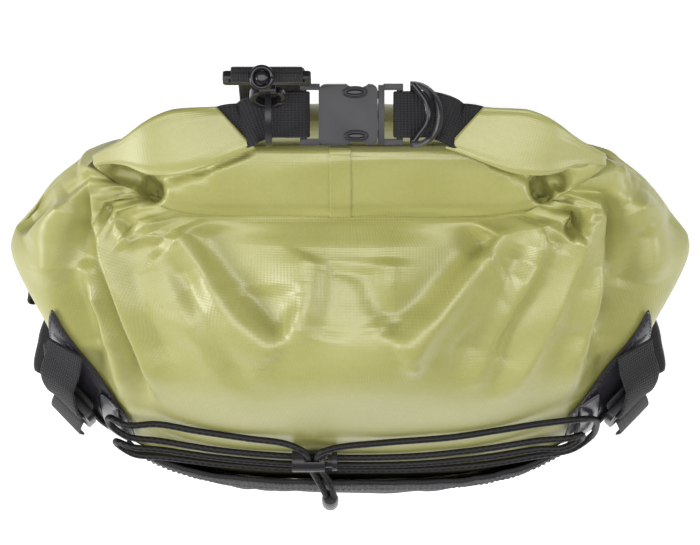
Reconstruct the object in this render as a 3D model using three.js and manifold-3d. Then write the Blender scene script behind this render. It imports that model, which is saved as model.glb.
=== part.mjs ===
import * as THREE from "three";
import { mergeVertices } from "three/addons/utils/BufferGeometryUtils.js";
import Module from "manifold-3d";

// A roll-top dry backpack of PVC tarpaulin, standing on its flat base.
// Millimetres, +Z up. The front with the pocket faces -Y, the wearer's back faces +Y.

// Driving dimensions
const fit = 0.3; // gap between pieces that touch
const skinSeat = 1; // gap under what lies on the folded skin
const patchSeat = 2.6; // and under the patches, near the deepest folds
const clothWall = 2;
const domeHeight = 472; // crest of the stuffed front above the base
const earReach = 195; // from the middle to the tip of an ear
const frontReach = 104; // from the side seams' plane to the furthest point of the front
const backReach = 90; // and to the furthest point of the back
const around = 52; // points in each ring of the bag
const rows = 21; // rings up the bag

const collarWidth = 44; // the rolled mouth, across its flat face
const collarThick = 12;
const collarReach = 138; // from the middle to the bend at each end
const collarEnd = 62; // from the middle to each end of the roll
const collarY = 46.6;
const collarZ = domeHeight + 10.4;
const neckGap = 6; // open slit of the neck, inside its walls

const webWide = 25;
const webThick = 1.6;
const haulWide = 38;
const endTuck = 3.4; // from the roll's end to where its webbing starts
const barThick = 3.4; // thickness of the rings' bars

const buckleY = 75; // middle of the buckle
const buckleZ = collarZ + 48.6;
const buckleTilt = 15; // degrees from flat, towards the front
const buckleHigh = 33; // across the webbing
const buckleThick = 9.6;
const buckleBody = 32; // length of the socket's body
const frameBar = 3.5;
const frameSlot = 6.6;
const frameWall = 3.4;
const prongLong = 18;
const prongWide = 4.2;
const releaseLong = 13;

const ringTall = 36; // D-rings, across the webbing
const ringDeep = 21;
const ringShift = 0.5;
const ringLean = 42; // degrees that the right ring stands up from the webbing
const hookInner = 6.5; // snap hook, inner and outer radius
const hookOuter = 9.8;
const hookThick = 4.6;
const stemLong = 5;
const stemWide = 9;
const pinRadius = 1.9;
const loopDeep = 10;
const gateFrom = -28; // degrees on the ring, the gate's free end
const gateTo = 50; // and its hinge, in degrees
const tipSpace = 0.4; // between the gate's end and the hook's tip
const hingeSpace = 8;

const cordWide = 4; // elastic cord
const lockHigh = 20; // cord lock barrel
const lockWide = 15;
const plungerTravel = 4;
const lockRadius = 6.5;
const plungerRadius = 4.2;
const lockX = -22;
const lockZ = 361.5;
const lockStand = 8.6;
const endStand = 19.4;

const pocketHigh = 300;
const pocketWall = 1.6;
const pocketBulge = 9; // how far its middle stands off the bag at the mouth
const bindingHigh = 20;
const pocketAngle = 43;
const cornerAngle = 57; // where the compression straps run
const patchTop = 0.915; // shares of domeHeight
const patchShoulder = 0.79;
const webTop = 0.885;
const lockTop = 0.775;
const lockTall = 26;
const lockSeat = 10; // middle of the ladder lock from the skin
const lockThick = 5;
const lockBar = 3.7; // end bars of the ladder lock

const padThick = 9;
const padHigh = 360;
const padFoot = 28; // its lower edge above the base
const padWide = 220;
const strapWide = 60;
const strapThick = 10;
const wingHigh = 85;
const wingThick = 12;
const strapFoot = 136; // lower end of a shoulder strap above the base
const strapBow = 28; // how far a strap stands off the pad
const wingFrom = 84; // degrees from the front's middle
const wingTo = 126;
const wingFlare = 48;
const wingZ = 112;
const haulStand = 12; // how far the haul strap stands off the back at the crest
const haulTail = 74; // its end below the crest
const haulTuck = 24; // length of its end behind the swivel's bar
const adjusterTall = 24;
const adjusterSlot = 6;
const footAngle = 129; // where the strap's webbing is sewn to the foot of the bag
const webFoot = 30;

// Rings of the bag, bottom to top. Lengths are shares: wide of earReach, front of frontReach,
// back and seam of backReach, and the three heights of domeHeight. A larger square is boxier, and
// backSquare is that of the back half where it differs.
const rings = [
  { wide: 0.72, front: 0.74, back: 0.88, seam: 0, sideUp: 0, frontUp: 0, backUp: 0, square: 3.4 },
  { wide: 0.775, front: 0.82, back: 0.96, seam: 0, sideUp: 0.025, frontUp: 0.025, backUp: 0.025, square: 3.2 },
  { wide: 0.81, front: 0.88, back: 1.0, seam: 0, sideUp: 0.12, frontUp: 0.12, backUp: 0.12, square: 2.9 },
  { wide: 0.84, front: 0.94, back: 1.0, seam: 0, sideUp: 0.32, frontUp: 0.32, backUp: 0.32, square: 2.9 },
  { wide: 0.865, front: 0.99, back: 1.0, seam: 0.02, sideUp: 0.54, frontUp: 0.54, backUp: 0.54, square: 3.0 },
  { wide: 0.88, front: 1.0, back: 1.0, seam: 0.05, sideUp: 0.66, frontUp: 0.66, backUp: 0.66, square: 3.1 },
  { wide: 0.905, front: 0.885, back: 1.0, seam: 0.09, sideUp: 0.77, frontUp: 0.775, backUp: 0.78, square: 3.1 },
  { wide: 0.955, front: 0.74, back: 1.0, seam: 0.17, sideUp: 0.85, frontUp: 0.885, backUp: 0.88, square: 2.5 },
  { wide: 1.01, front: 0.61, back: 0.99, seam: 0.22, sideUp: 0.905, frontUp: 0.95, backUp: 0.945, square: 1.65, backSquare: 1.9 },
  { wide: 0.94, front: 0.39, back: 0.97, seam: 0.37, sideUp: 0.945, frontUp: 0.985, backUp: 0.985, square: 1.9, backSquare: 2.3 },
  { wide: 0.85, front: 0.12, back: 0.95, seam: 0.5, sideUp: 0.99, frontUp: 1.0, backUp: 1.01, square: 1.95, backSquare: 2.5 },
  { wide: 0.765, front: -0.1, back: 0.83, seam: 0.58, sideUp: 1.025, frontUp: 1.0, backUp: 1.03, square: 2.1 },
];

// Main folds. Ends are given by the angle from the front's middle (degrees, the left-hand side of
// the picture negative) and the share of the way up the rings. A share of foldUnit gives each
// one's depth, positive outwards, and its width.
const foldUnit = 10;
const folds = [
  { from: [-68, 0.93], to: [-44, 0.6], depth: -1.1, width: 1.3 },
  { from: [-62, 0.9], to: [-36, 0.56], depth: 0.7, width: 0.9 },
  { from: [-80, 0.93], to: [-62, 0.76], depth: 0.6, width: 1.5 },
  { from: [-50, 0.97], to: [-28, 0.84], depth: -0.8, width: 1.5 },
  { from: [-104, 0.95], to: [-98, 0.74], depth: -0.7, width: 1.4 },
  { from: [-20, 0.9], to: [-14, 0.72], depth: -0.35, width: 1.8 },
  { from: [64, 0.95], to: [46, 0.6], depth: -1.0, width: 1.3 },
  { from: [60, 0.96], to: [38, 0.62], depth: 0.8, width: 1.0 },
  { from: [78, 0.94], to: [64, 0.76], depth: 0.6, width: 1.5 },
  { from: [52, 0.97], to: [30, 0.86], depth: 0.9, width: 1.5 },
  { from: [40, 0.95], to: [22, 0.7], depth: -0.6, width: 1.5 },
  { from: [104, 0.95], to: [98, 0.72], depth: -0.7, width: 1.4 },
  { from: [150, 0.94], to: [128, 0.7], depth: -0.8, width: 1.8 },
  { from: [-150, 0.94], to: [-128, 0.7], depth: -0.8, width: 1.8 },
];

// The left half of the collar's middle line, from the end of the roll round its bend to the middle.
// Reach and tilt are in shares of collarReach and in degrees, up and back in shares of collarWidth
// from the middle of the roll. The roll is pinched to a share of its width at the bend.
const collarLine = [
  { reach: collarEnd / collarReach, back: 0.49, up: 1.06, tilt: 15, wide: 0.68 },
  { reach: 0.69, back: 0.31, up: 1.02, tilt: 17, wide: 0.8 },
  { reach: 0.8, back: 0.24, up: 0.93, tilt: 20, wide: 0.66 },
  { reach: 0.9, back: 0.23, up: 0.76, tilt: 25, wide: 0.34 },
  { reach: 0.97, back: 0.22, up: 0.58, tilt: 30, wide: 0.2 },
  { reach: 1.01, back: 0.2, up: 0.4, tilt: 34, wide: 0.16 },
  { reach: 0.97, back: 0.13, up: 0.24, tilt: 37, wide: 0.2 },
  { reach: 0.87, back: 0.05, up: 0.12, tilt: 40, wide: 0.42 },
  { reach: 0.7, back: 0, up: 0.04, tilt: 41, wide: 0.84 },
  { reach: 0.5, back: 0, up: 0.01, tilt: 41, wide: 1 },
  { reach: 0.2, back: 0, up: 0, tilt: 41, wide: 1 },
  { reach: 0, back: 0, up: 0, tilt: 41, wide: 1 },
];

// The middle line of a shoulder strap, from its top to its foot: shares of padWide, of strapBow and
// of the height between its two ends.
const strapRoute = [
  { aside: 0.2, out: 0, up: 1 },
  { aside: 0.227, out: 0.107, up: 0.862 },
  { aside: 0.273, out: 0.5, up: 0.667 },
  { aside: 0.323, out: 0.893, up: 0.463 },
  { aside: 0.373, out: 1, up: 0.28 },
  { aside: 0.418, out: 0.821, up: 0.118 },
  { aside: 0.45, out: 0.607, up: 0 },
];

// The haul strap behind the bag, from below the swivel down: shares of haulStand and of haulTail.
const haulRoute = [
  { out: 1, up: 0.58 },
  { out: 1, up: 0.11 },
  { out: 0.5, up: -0.32 },
  { out: 0.05, up: -0.65 },
  { out: 0, up: -1 },
];

// The elastic cord's route over the front: distance from the middle, height, and how far its
// middle stands off the bag.
const cordRoute = [
  [-14.2, 328, 19.4], [-17.5, 337, 15.5], [-22, 347, 10.6], [-24.2, 355, 8.6], [-24.2, 368, 8.6],
  [-28, 376, 7], [-38, 379, 4], [-60, 381, 2.6], [-90, 384, 2.6], [-112, 387, 5], [-127, 388, 9.4],
  [-137, 383, 9.4], [-138, 373, 9.4], [-129, 366, 9.4], [-112, 362, 5], [-80, 357, 2.6], [-40, 352.5, 2.6],
  [0, 351, 2.6], [40, 352.5, 2.6], [80, 357, 2.6], [112, 361, 5], [127, 363, 9.4], [134, 359, 9.4],
  [134, 351, 9.4], [126, 346, 9.4], [112, 345, 5], [80, 342, 2.6], [40, 338.5, 2.6], [0, 337.5, 2.6],
  [-40, 338.5, 2.6], [-80, 342, 2.6], [-112, 346, 5], [-127, 347, 9.4], [-136, 342, 9.4], [-136, 334, 9.4],
  [-127, 329, 9.4], [-112, 329, 5], [-80, 328.5, 2.6], [-40, 327, 2.6], [0, 326.5, 2.6], [40, 327, 2.6],
  [80, 328.5, 2.6], [112, 331, 5], [130, 334, 9.4], [140, 342, 9.4], [142, 358, 9.4], [140, 376, 9.4],
  [130, 387, 9.4], [112, 387, 5], [90, 384, 2.6], [60, 381, 2.6], [20, 378.5, 3], [-8, 377.5, 5.5],
  [-17.4, 375, 7.9], [-19.8, 368, 8.6], [-19.8, 355, 8.6], [-16, 346, 10.8], [-11.5, 337, 15.5], [-9.8, 328, 19.4],
];

const wasm = await Module();
wasm.setup();

const degrees = THREE.MathUtils.degToRad;
const vector = (x, y, z) => new THREE.Vector3(x, y, z);
const lerp = THREE.MathUtils.lerp;

// Closed surfaces

// Joins rows of points into a closed skin; a row of one point is a pole.
function skin(pointRows) {
  const positions = [];
  const starts = [];
  for (const row of pointRows) {
    starts.push(positions.length / 3);
    for (const p of row) positions.push(p.x, p.y, p.z);
  }
  const all = pointRows.flat();
  const apart = (i, j) => all[i].distanceTo(all[j]) + 1e-6;
  const faces = [];
  for (let r = 0; r + 1 < pointRows.length; r += 1) {
    const low = pointRows[r].length;
    const high = pointRows[r + 1].length;
    const count = Math.max(low, high);
    for (let i = 0; i < count; i += 1) {
      const j = (i + 1) % count;
      const a = starts[r] + (low === 1 ? 0 : i);
      const b = starts[r] + (low === 1 ? 0 : j);
      const c = starts[r + 1] + (high === 1 ? 0 : j);
      const d = starts[r + 1] + (high === 1 ? 0 : i);
      if (low > 1 && high > 1 && apart(b, d) < apart(a, c)) {
        faces.push(a, b, d, b, c, d);
        continue;
      }
      if (low > 1) faces.push(a, b, c);
      if (high > 1) faces.push(a, c, d);
    }
  }
  const geometry = new THREE.BufferGeometry();
  geometry.setAttribute("position", new THREE.Float32BufferAttribute(positions, 3));
  geometry.setIndex(faces);
  geometry.computeVertexNormals();
  return geometry;
}

function middleOf(row) {
  const middle = vector(0, 0, 0);
  for (const p of row) middle.add(p);
  return middle.divideScalar(row.length);
}

// Caps both ends of a run of rings.
function cappedSkin(pointRows) {
  return skin([[middleOf(pointRows[0])], ...pointRows, [middleOf(pointRows.at(-1))]]);
}

function solidOf(geometry) {
  const bare = geometry.clone();
  bare.deleteAttribute("normal");
  bare.deleteAttribute("uv");
  const merged = mergeVertices(bare, 1e-4);
  return new wasm.Manifold(
    new wasm.Mesh({
      numProp: 3,
      vertProperties: merged.attributes.position.array,
      triVerts: new Uint32Array(merged.index.array),
    }),
  );
}

function geometryOf(solid) {
  const mesh = solid.getMesh();
  const geometry = new THREE.BufferGeometry();
  geometry.setAttribute("position", new THREE.BufferAttribute(mesh.vertProperties, 3));
  geometry.setIndex(new THREE.BufferAttribute(mesh.triVerts, 1));
  geometry.computeVertexNormals();
  return geometry;
}

function boxAt(sizeX, sizeY, sizeZ, x, y, z) {
  return new THREE.BoxGeometry(sizeX, sizeY, sizeZ).translate(x, y, z);
}

function joined(geometries) {
  const [first, ...others] = geometries.map(solidOf);
  return others.reduce((whole, next) => whole.add(next), first);
}

function cutFrom(base, tools) {
  return tools.map(solidOf).reduce((left, tool) => left.subtract(tool), base);
}

// A rectangle with rounded corners, as a shape.
function roundedShape(wide, high, radius) {
  const shape = new THREE.Shape();
  const x = wide / 2 - radius;
  const y = high / 2 - radius;
  shape.absarc(x, y, radius, 0, Math.PI / 2);
  shape.absarc(-x, y, radius, Math.PI / 2, Math.PI);
  shape.absarc(-x, -y, radius, Math.PI, Math.PI * 1.5);
  shape.absarc(x, -y, radius, Math.PI * 1.5, Math.PI * 2);
  shape.closePath();
  return shape;
}

// A plate of the shape, its thickness centred on z = 0.
function plate(shape, thick, curveSegments = 4) {
  return new THREE.ExtrudeGeometry(shape, { depth: thick, bevelEnabled: false, curveSegments })
    .translate(0, 0, -thick / 2);
}

// A section with rounded ends, swept along points with its width along the matching directions.
function sweptBand(points, acrossAt, wide, thick, section = flatSection) {
  const outline = section(wide, thick);
  const pointRows = points.map((p, i) => {
    const before = points[Math.max(i - 1, 0)];
    const after = points[Math.min(i + 1, points.length - 1)];
    const along = after.clone().sub(before).normalize();
    const across = acrossAt(i).clone();
    across.addScaledVector(along, -across.dot(along)).normalize();
    const out = along.clone().cross(across);
    return outline.map(([s, t]) => p.clone().addScaledVector(across, s).addScaledVector(out, t));
  });
  return cappedSkin(pointRows);
}

function flatSection(wide, thick) {
  return [[wide / 2, -thick / 2], [wide / 2, thick / 2], [-wide / 2, thick / 2], [-wide / 2, -thick / 2]];
}

function paddedSection(wide, thick) {
  const corners = [];
  for (let i = 0; i < 12; i += 1) {
    const angle = (i / 12) * Math.PI * 2 - Math.PI / 6;
    const s = Math.cos(angle);
    const t = Math.sin(angle);
    corners.push([
      (wide / 2) * Math.sign(s) * Math.abs(s) ** 0.5,
      (thick / 2) * Math.sign(t) * Math.abs(t) ** 0.7,
    ]);
  }
  return corners;
}

// Points on a smooth curve through the given ones.
function smooth(points, count) {
  return new THREE.CatmullRomCurve3(points, false, "centripetal").getSpacedPoints(count);
}

// The form of the bag

function blended(column, share) {
  const place = share * (rings.length - 1);
  const row = Math.min(Math.floor(place), rings.length - 2);
  const t = place - row;
  const at = (i) => {
    const ring = rings[THREE.MathUtils.clamp(i, 0, rings.length - 1)];
    return column === "backSquare" ? ring.backSquare ?? ring.square : ring[column];
  };
  const [a, b, c, d] = [at(row - 1), at(row), at(row + 1), at(row + 2)];
  const curve = b + 0.5 * t * (c - a + t * (2 * a - 5 * b + 4 * c - d + t * (3 * (b - c) + d - a)));
  return row === 0 ? lerp(b, c, t) : curve;
}

// A point of the bag's outside before folds: angle in degrees from the front's middle.
function bagPoint(angle, share) {
  const turn = degrees(angle);
  const isFront = Math.cos(turn) >= 0;
  const power = 2 / blended(isFront ? "square" : "backSquare", share);
  const aside = Math.abs(Math.sin(turn)) ** power * Math.sign(Math.sin(turn));
  const ahead = Math.abs(Math.cos(turn)) ** power;
  const seam = blended("seam", share) * backReach;
  const reach = isFront ? -blended("front", share) * frontReach : blended("back", share) * backReach;
  const sideUp = blended("sideUp", share);
  const middleUp = blended(isFront ? "frontUp" : "backUp", share);
  return vector(
    blended("wide", share) * earReach * aside,
    lerp(seam, reach, ahead),
    lerp(sideUp, middleUp, ahead) * domeHeight,
  );
}

function outwards(angle, share) {
  const step = 2;
  const rise = 0.01;
  const aroundWay = bagPoint(angle + step, share).sub(bagPoint(angle - step, share));
  const upWay = bagPoint(angle, Math.min(share + rise, 1)).sub(bagPoint(angle, share - rise));
  return aroundWay.cross(upWay).normalize();
}

const foldLines = folds.map((fold) => ({
  depth: fold.depth * foldUnit,
  width: fold.width * foldUnit,
  points: [0, 0.2, 0.4, 0.6, 0.8, 1].map((t) =>
    bagPoint(lerp(fold.from[0], fold.to[0], t), lerp(fold.from[1], fold.to[1], t))),
}));

// How far the folds push a point out of the plain form.
function foldPush(point) {
  let push = 0;
  for (const line of foldLines) {
    let nearest = Infinity;
    let along = 0;
    for (let i = 0; i + 1 < line.points.length; i += 1) {
      const piece = new THREE.Line3(line.points[i], line.points[i + 1]);
      const t = piece.closestPointToPointParameter(point, true);
      const gap = piece.at(t, vector(0, 0, 0)).distanceTo(point);
      if (gap < nearest) {
        nearest = gap;
        along = (i + t) / (line.points.length - 1);
      }
    }
    const fade = Math.min(1, 6 * (along + 0.05)) * Math.min(1, 3 * (1.1 - along));
    push += line.depth * fade * Math.exp(-((nearest / line.width) ** 2));
  }
  return push;
}

function foldedPoint(angle, share) {
  const point = bagPoint(angle, share);
  return point.addScaledVector(outwards(angle, share), foldPush(point));
}

// The outside of the bag at an angle and a height, moved outwards by an offset.
function onBag(angle, z, offset) {
  let low = 0;
  let high = 0.86;
  for (let i = 0; i < 24; i += 1) {
    const share = (low + high) / 2;
    if (bagPoint(angle, share).z < z) low = share;
    else high = share;
  }
  return foldedPoint(angle, low).addScaledVector(outwards(angle, low), offset);
}

// The same on the front, at a distance from the middle instead of an angle.
function onFront(x, z, offset) {
  let near = 0;
  let far = 80;
  for (let i = 0; i < 16; i += 1) {
    const angle = (near + far) / 2;
    if (onBag(angle, z, 0).x < Math.abs(x)) near = angle;
    else far = angle;
  }
  return onBag(near * Math.sign(x), z, offset);
}

// A thick sheet: two faces over a grid, joined along their edges. Each face gives a point for u, v.
function thickSheet(across, up, innerAt, outerAt) {
  const pointRows = [];
  for (let i = 0; i <= across; i += 1) {
    const loop = [];
    for (let j = 0; j <= up; j += 1) loop.push(outerAt(i / across, j / up));
    for (let j = up; j >= 0; j -= 1) loop.push(innerAt(i / across, j / up));
    pointRows.push(loop);
  }
  const positions = pointRows.flat().flatMap((p) => [p.x, p.y, p.z]);
  const size = 2 * (up + 1);
  const faces = [];
  for (let i = 0; i < across; i += 1) {
    for (let j = 0; j < size; j += 1) {
      const a = i * size + j;
      const b = i * size + ((j + 1) % size);
      faces.push(a, a + size, b + size, a, b + size, b);
    }
  }
  const last = across * size;
  for (let j = 0; j < up; j += 1) {
    const back = size - 1 - j;
    faces.push(j, j + 1, back - 1, j, back - 1, back);
    faces.push(last + j, last + back - 1, last + j + 1, last + j, last + back, last + back - 1);
  }
  const geometry = new THREE.BufferGeometry();
  geometry.setAttribute("position", new THREE.Float32BufferAttribute(positions, 3));
  geometry.setIndex(faces);
  geometry.computeVertexNormals();
  return geometry;
}

// A sheet that follows the bag between two angles and two heights.
function bagSheet(fromAngle, toAngle, lowAt, highAt, offset, thick, across, up) {
  const at = (extra) => (u, v) =>
    onBag(lerp(fromAngle, toAngle, u), lerp(lowAt(u), highAt(u), v), offset + extra);
  return thickSheet(across, up, at(0), at(thick));
}

// The collar's middle line with the direction across its face, over both halves.
function collarFrames() {
  const half = collarLine.map(({ reach, back, up, tilt, wide }) => ({
    wide,
    point: vector(-reach * collarReach, collarY + back * collarWidth, collarZ + up * collarWidth),
    across: vector(0, Math.cos(degrees(tilt)), Math.sin(degrees(tilt))),
  }));
  const mirrored = half.slice(0, -1).reverse().map(({ point, across, wide }) => ({
    point: vector(-point.x, point.y, point.z),
    across,
    wide,
  }));
  return [...half, ...mirrored];
}

// A ring of the neck, just under the rolled collar's lower edge.
function neckRing(gap) {
  const bend = collarLine.findIndex((row) => row.reach > 1);
  const line = collarLine.slice(bend).reverse();
  const neckReach = 0.93 * collarReach;
  const points = [];
  for (let i = 0; i < around; i += 1) {
    const turn = (i / around) * Math.PI * 2;
    const x = Math.sin(turn) * neckReach;
    const reach = Math.abs(x) / collarReach;
    const after = Math.max(line.findIndex((row) => row.reach >= reach), 1);
    const [near, far] = [line[after - 1], line[after]];
    const t = (reach - near.reach) / (far.reach - near.reach);
    const tilt = degrees(lerp(near.tilt, far.tilt, t));
    const drop = (lerp(near.wide, far.wide, t) * collarWidth) / 2 + 2 * fit;
    const across = -Math.cos(turn) * (gap / 2) * Math.min(1, 4 * (1.02 - Math.abs(x) / neckReach));
    points.push(vector(
      x,
      collarY + lerp(near.back, far.back, t) * collarWidth - drop * Math.cos(tilt) + across * Math.sin(tilt + 0.6),
      collarZ + lerp(near.up, far.up, t) * collarWidth - drop * Math.sin(tilt) - across * Math.cos(tilt + 0.6),
    ));
  }
  return points;
}

function bagBody() {
  const outer = [];
  const inner = [];
  for (let r = 0; r <= rows; r += 1) {
    const share = r / rows;
    const ring = [];
    const inside = [];
    for (let i = 0; i < around; i += 1) {
      const angle = (i / around) * 360;
      const point = foldedPoint(angle, share);
      const inwards = point.clone().addScaledVector(outwards(angle, share), -clothWall);
      if (r === 0) inwards.copy(point).setZ(clothWall).lerp(vector(0, 0, clothWall), 0.03);
      ring.push(point);
      inside.push(inwards);
    }
    outer.push(ring);
    inner.push(inside);
  }
  outer.push(neckRing(neckGap + 2 * clothWall));
  inner.push(neckRing(neckGap));
  return skin([[vector(0, 0, 0)], ...outer, ...inner.reverse(), [vector(0, 0, clothWall)]]);
}

const frames = collarFrames();
const collarCurve = new THREE.CatmullRomCurve3(frames.map((f) => f.point), false, "centripetal");

function rolledCollar() {
  const steps = 38;
  const acrossCurve = new THREE.CatmullRomCurve3(frames.map((f) => f.across), false, "centripetal");
  const last = frames.length - 1;
  const pointRows = [];
  for (let i = 0; i <= steps; i += 1) {
    const share = i / steps;
    const place = share * last;
    const row = Math.min(Math.floor(place), last - 1);
    const wide = lerp(frames[row].wide, frames[row + 1].wide, place - row);
    const thick = collarThick * (0.6 + 0.4 * Math.min(1, wide / 0.7));
    const point = collarCurve.getPoint(share);
    const along = collarCurve.getTangent(share);
    const across = acrossCurve.getPoint(share);
    across.addScaledVector(along, -across.dot(along)).normalize();
    const out = along.clone().cross(across);
    pointRows.push(paddedSection(wide * collarWidth, thick)
      .map(([s, t]) => point.clone().addScaledVector(across, s).addScaledVector(out, t)));
  }
  return cappedSkin(pointRows);
}

// Webbing and hardware at the collar, in a frame with X along the webbing, Y across it and Z out

const wrapRadius = frameBar / 2 + fit + webThick / 2;
const ringRoom = barThick * 0.71 + fit + webThick / 2; // the webbing's two layers round a ring's bar
const socketEdge = -buckleBody / 2 - 1;
const plugEdge = buckleBody / 2 - 1 + fit + frameWall;
const socketBar = socketEdge - frameSlot - frameBar / 2;
const plugBar = plugEdge + frameSlot + frameBar / 2;

// Half a turn round a bar along Y, from above it to below it.
function halfTurn(barX, side, radius, y = 0) {
  return [90, 45, 0, -45, -90].map((angle) =>
    vector(barX + side * radius * Math.cos(degrees(angle)), y, radius * Math.sin(degrees(angle))));
}

function collarWebbing(side) {
  const barX = side < 0 ? socketBar : plugBar;
  const end = frames[0].point;
  const tilt = degrees(buckleTilt);
  const away = vector(0, end.y - buckleY, end.z - buckleZ).applyAxisAngle(vector(1, 0, 0), -tilt);
  const at = (x, share, z) => vector(side * x, away.y * share, z);
  const points = [
    at(collarEnd - endTuck, 0.75, away.z + 2.2),
    at(collarEnd - 9, 0.4, ringRoom),
    at(collarEnd - 18, 0.02, ringRoom),
    at(collarEnd - 30, 0, ringRoom),
    ...halfTurn(barX, -side, wrapRadius),
    at(collarEnd - 30, 0, -ringRoom),
    at(collarEnd - 18, 0.02, -ringRoom),
    at(collarEnd - 9, 0.4, -ringRoom),
    at(collarEnd - endTuck, 0.75, away.z - 1.2),
  ];
  return sweptBand(points, () => vector(0, 1, 0), webWide, webThick);
}

function buckleFrame(edge, side) {
  const barX = edge + side * (frameSlot + frameBar / 2);
  const cheekLong = frameSlot + frameBar;
  const cheekX = edge + side * (cheekLong / 2 - fit);
  const cheekY = buckleHigh / 2 - frameWall / 2 + 0.2;
  return [
    new THREE.CylinderGeometry(frameBar / 2, frameBar / 2, buckleHigh - 2, 12).translate(barX, 0, 0),
    boxAt(cheekLong + 2 * fit, frameWall, frameBar + 1, cheekX, cheekY, 0),
    boxAt(cheekLong + 2 * fit, frameWall, frameBar + 1, cheekX, -cheekY, 0),
  ];
}

function buckleSocket() {
  const middle = -1;
  const body = plate(roundedShape(buckleBody, buckleHigh, 4), buckleThick).translate(middle, 0, 0);
  const whole = joined([body, ...buckleFrame(socketEdge, -1)]);
  const cavityHigh = buckleHigh - 2 * frameWall;
  const cavity = boxAt(buckleBody, cavityHigh, buckleThick - 4, middle + 5, 0, 0);
  const windows = [1, -1].map((side) =>
    boxAt(releaseLong, 2 * frameWall + 2, buckleThick - 4, 4, side * buckleHigh / 2, 0));
  const relief = [1, -1].map((side) =>
    new THREE.CylinderGeometry(9, 9, buckleThick + 2, 20)
      .rotateX(Math.PI / 2)
      .translate(4, side * (buckleHigh / 2 + 6.6), 0));
  return geometryOf(cutFrom(whole, [cavity, ...windows, ...relief]));
}

function bucklePlug() {
  const start = buckleBody / 2 - 1 + fit;
  const base = boxAt(frameWall, buckleHigh - 1, frameBar + 3, start + frameWall / 2, 0, 0);
  const prongs = [1, -1].map((side) =>
    boxAt(prongLong, prongWide, buckleThick - 4 - 2 * fit, start - prongLong / 2 + 1,
      side * (buckleHigh / 2 - frameWall - prongWide / 2 - fit), 0));
  const guide = boxAt(prongLong - 4, 4, buckleThick - 4 - 2 * fit, start - prongLong / 2 + 3, 0, 0);
  const buttons = [1, -1].map((side) =>
    boxAt(releaseLong - 2 * fit, 3, buckleThick - 4 - 2 * fit, 4, side * (buckleHigh / 2 - frameWall), 0));
  return geometryOf(joined([base, ...prongs, guide, ...buttons, ...buckleFrame(plugEdge, 1)]));
}

// A D-ring lying in XY: its straight bar on the Y axis, its bow towards +X.
function dRing() {
  const outline = (tall, deep) => {
    const shape = new THREE.Shape();
    shape.moveTo(0, -tall / 2);
    shape.absellipse(0, 0, deep, tall / 2, -Math.PI / 2, Math.PI / 2, false);
    shape.closePath();
    return shape;
  };
  const outer = plate(outline(ringTall, ringDeep), barThick, 10).translate(-barThick / 2, 0, 0);
  const hole = plate(outline(ringTall - 2 * barThick, ringDeep - 2 * barThick), barThick + 2, 10)
    .translate(barThick / 2, 0, 0);
  return geometryOf(cutFrom(solidOf(outer), [hole]));
}

// Snap hook in a frame of its own: the ring's plane is XY, the stem runs along +Y.

// A part of a ring; its ends are given on the inner and on the outer edge.
function ringSector(inner, outer, from, to, steps) {
  const shape = new THREE.Shape();
  for (let i = 0; i <= steps; i += 1) {
    const turn = degrees(lerp(from.outer, to.outer, i / steps));
    shape[i === 0 ? "moveTo" : "lineTo"](outer * Math.cos(turn), outer * Math.sin(turn));
  }
  for (let i = steps; i >= 0; i -= 1) {
    const turn = degrees(lerp(from.inner, to.inner, i / steps));
    shape.lineTo(inner * Math.cos(turn), inner * Math.sin(turn));
  }
  shape.closePath();
  return shape;
}

// The place on the ring, in degrees, of the point at a radius that the gate's end reaches.
const hingeRadius = (hookInner + hookOuter) / 2;
function swungTo(radius, reach) {
  const cosine = (radius ** 2 + hingeRadius ** 2 - reach ** 2) / (2 * radius * hingeRadius);
  return gateTo - THREE.MathUtils.radToDeg(Math.acos(cosine));
}
const gateInner = hookInner + 0.4;
const gateOuter = hookOuter - 0.4;
const gateReach = Math.hypot(
  gateInner * Math.cos(degrees(gateFrom)) - hingeRadius * Math.cos(degrees(gateTo)),
  gateInner * Math.sin(degrees(gateFrom)) - hingeRadius * Math.sin(degrees(gateTo)),
);

function hookBody() {
  const from = { inner: gateTo + hingeSpace, outer: gateTo + hingeSpace };
  const reach = gateReach + tipSpace;
  const to = { inner: 360 + swungTo(hookInner, reach), outer: 360 + swungTo(hookOuter, reach) };
  const ring = plate(ringSector(hookInner, hookOuter, from, to, 24), hookThick);
  const stem = boxAt(stemWide, stemLong, hookThick + 1.4, 0, hookOuter - 1.5 + stemLong / 2, 0);
  const bore = new THREE.CylinderGeometry(pinRadius + fit, pinRadius + fit, stemLong, 16)
    .translate(0, hookOuter - 1.5 + stemLong / 2 + 2.2, 0);
  return geometryOf(cutFrom(joined([ring, stem]), [bore]));
}

function hookGate() {
  const from = { inner: gateFrom, outer: swungTo(gateOuter, gateReach) };
  return plate(ringSector(gateInner, gateOuter, from, { inner: gateTo, outer: gateTo }, 8), hookThick - 1);
}

function hookSwivel() {
  const start = hookOuter - 1.5 + stemLong;
  const loopWide = haulWide + 2 * barThick + 2;
  const loopShape = roundedShape(loopWide, loopDeep, 2);
  const loop = plate(loopShape, barThick).translate(0, start + fit + 1.5 + loopDeep / 2, 0);
  const hole = boxAt(haulWide + 2, loopDeep - 2 * barThick, barThick + 2, 0, start + fit + 1.5 + loopDeep / 2, 0);
  const collar = new THREE.CylinderGeometry(3.6, 3.6, 2, 16).translate(0, start + fit + 1, 0);
  const pin = new THREE.CylinderGeometry(pinRadius, pinRadius, 3.5, 16).translate(0, start - 0.2, 0);
  return geometryOf(cutFrom(joined([loop, collar, pin]), [hole]));
}

// Straps, patches and pads on the bag

const sides = [
  { side: -1, word: "left" },
  { side: 1, word: "right" },
];

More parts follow.
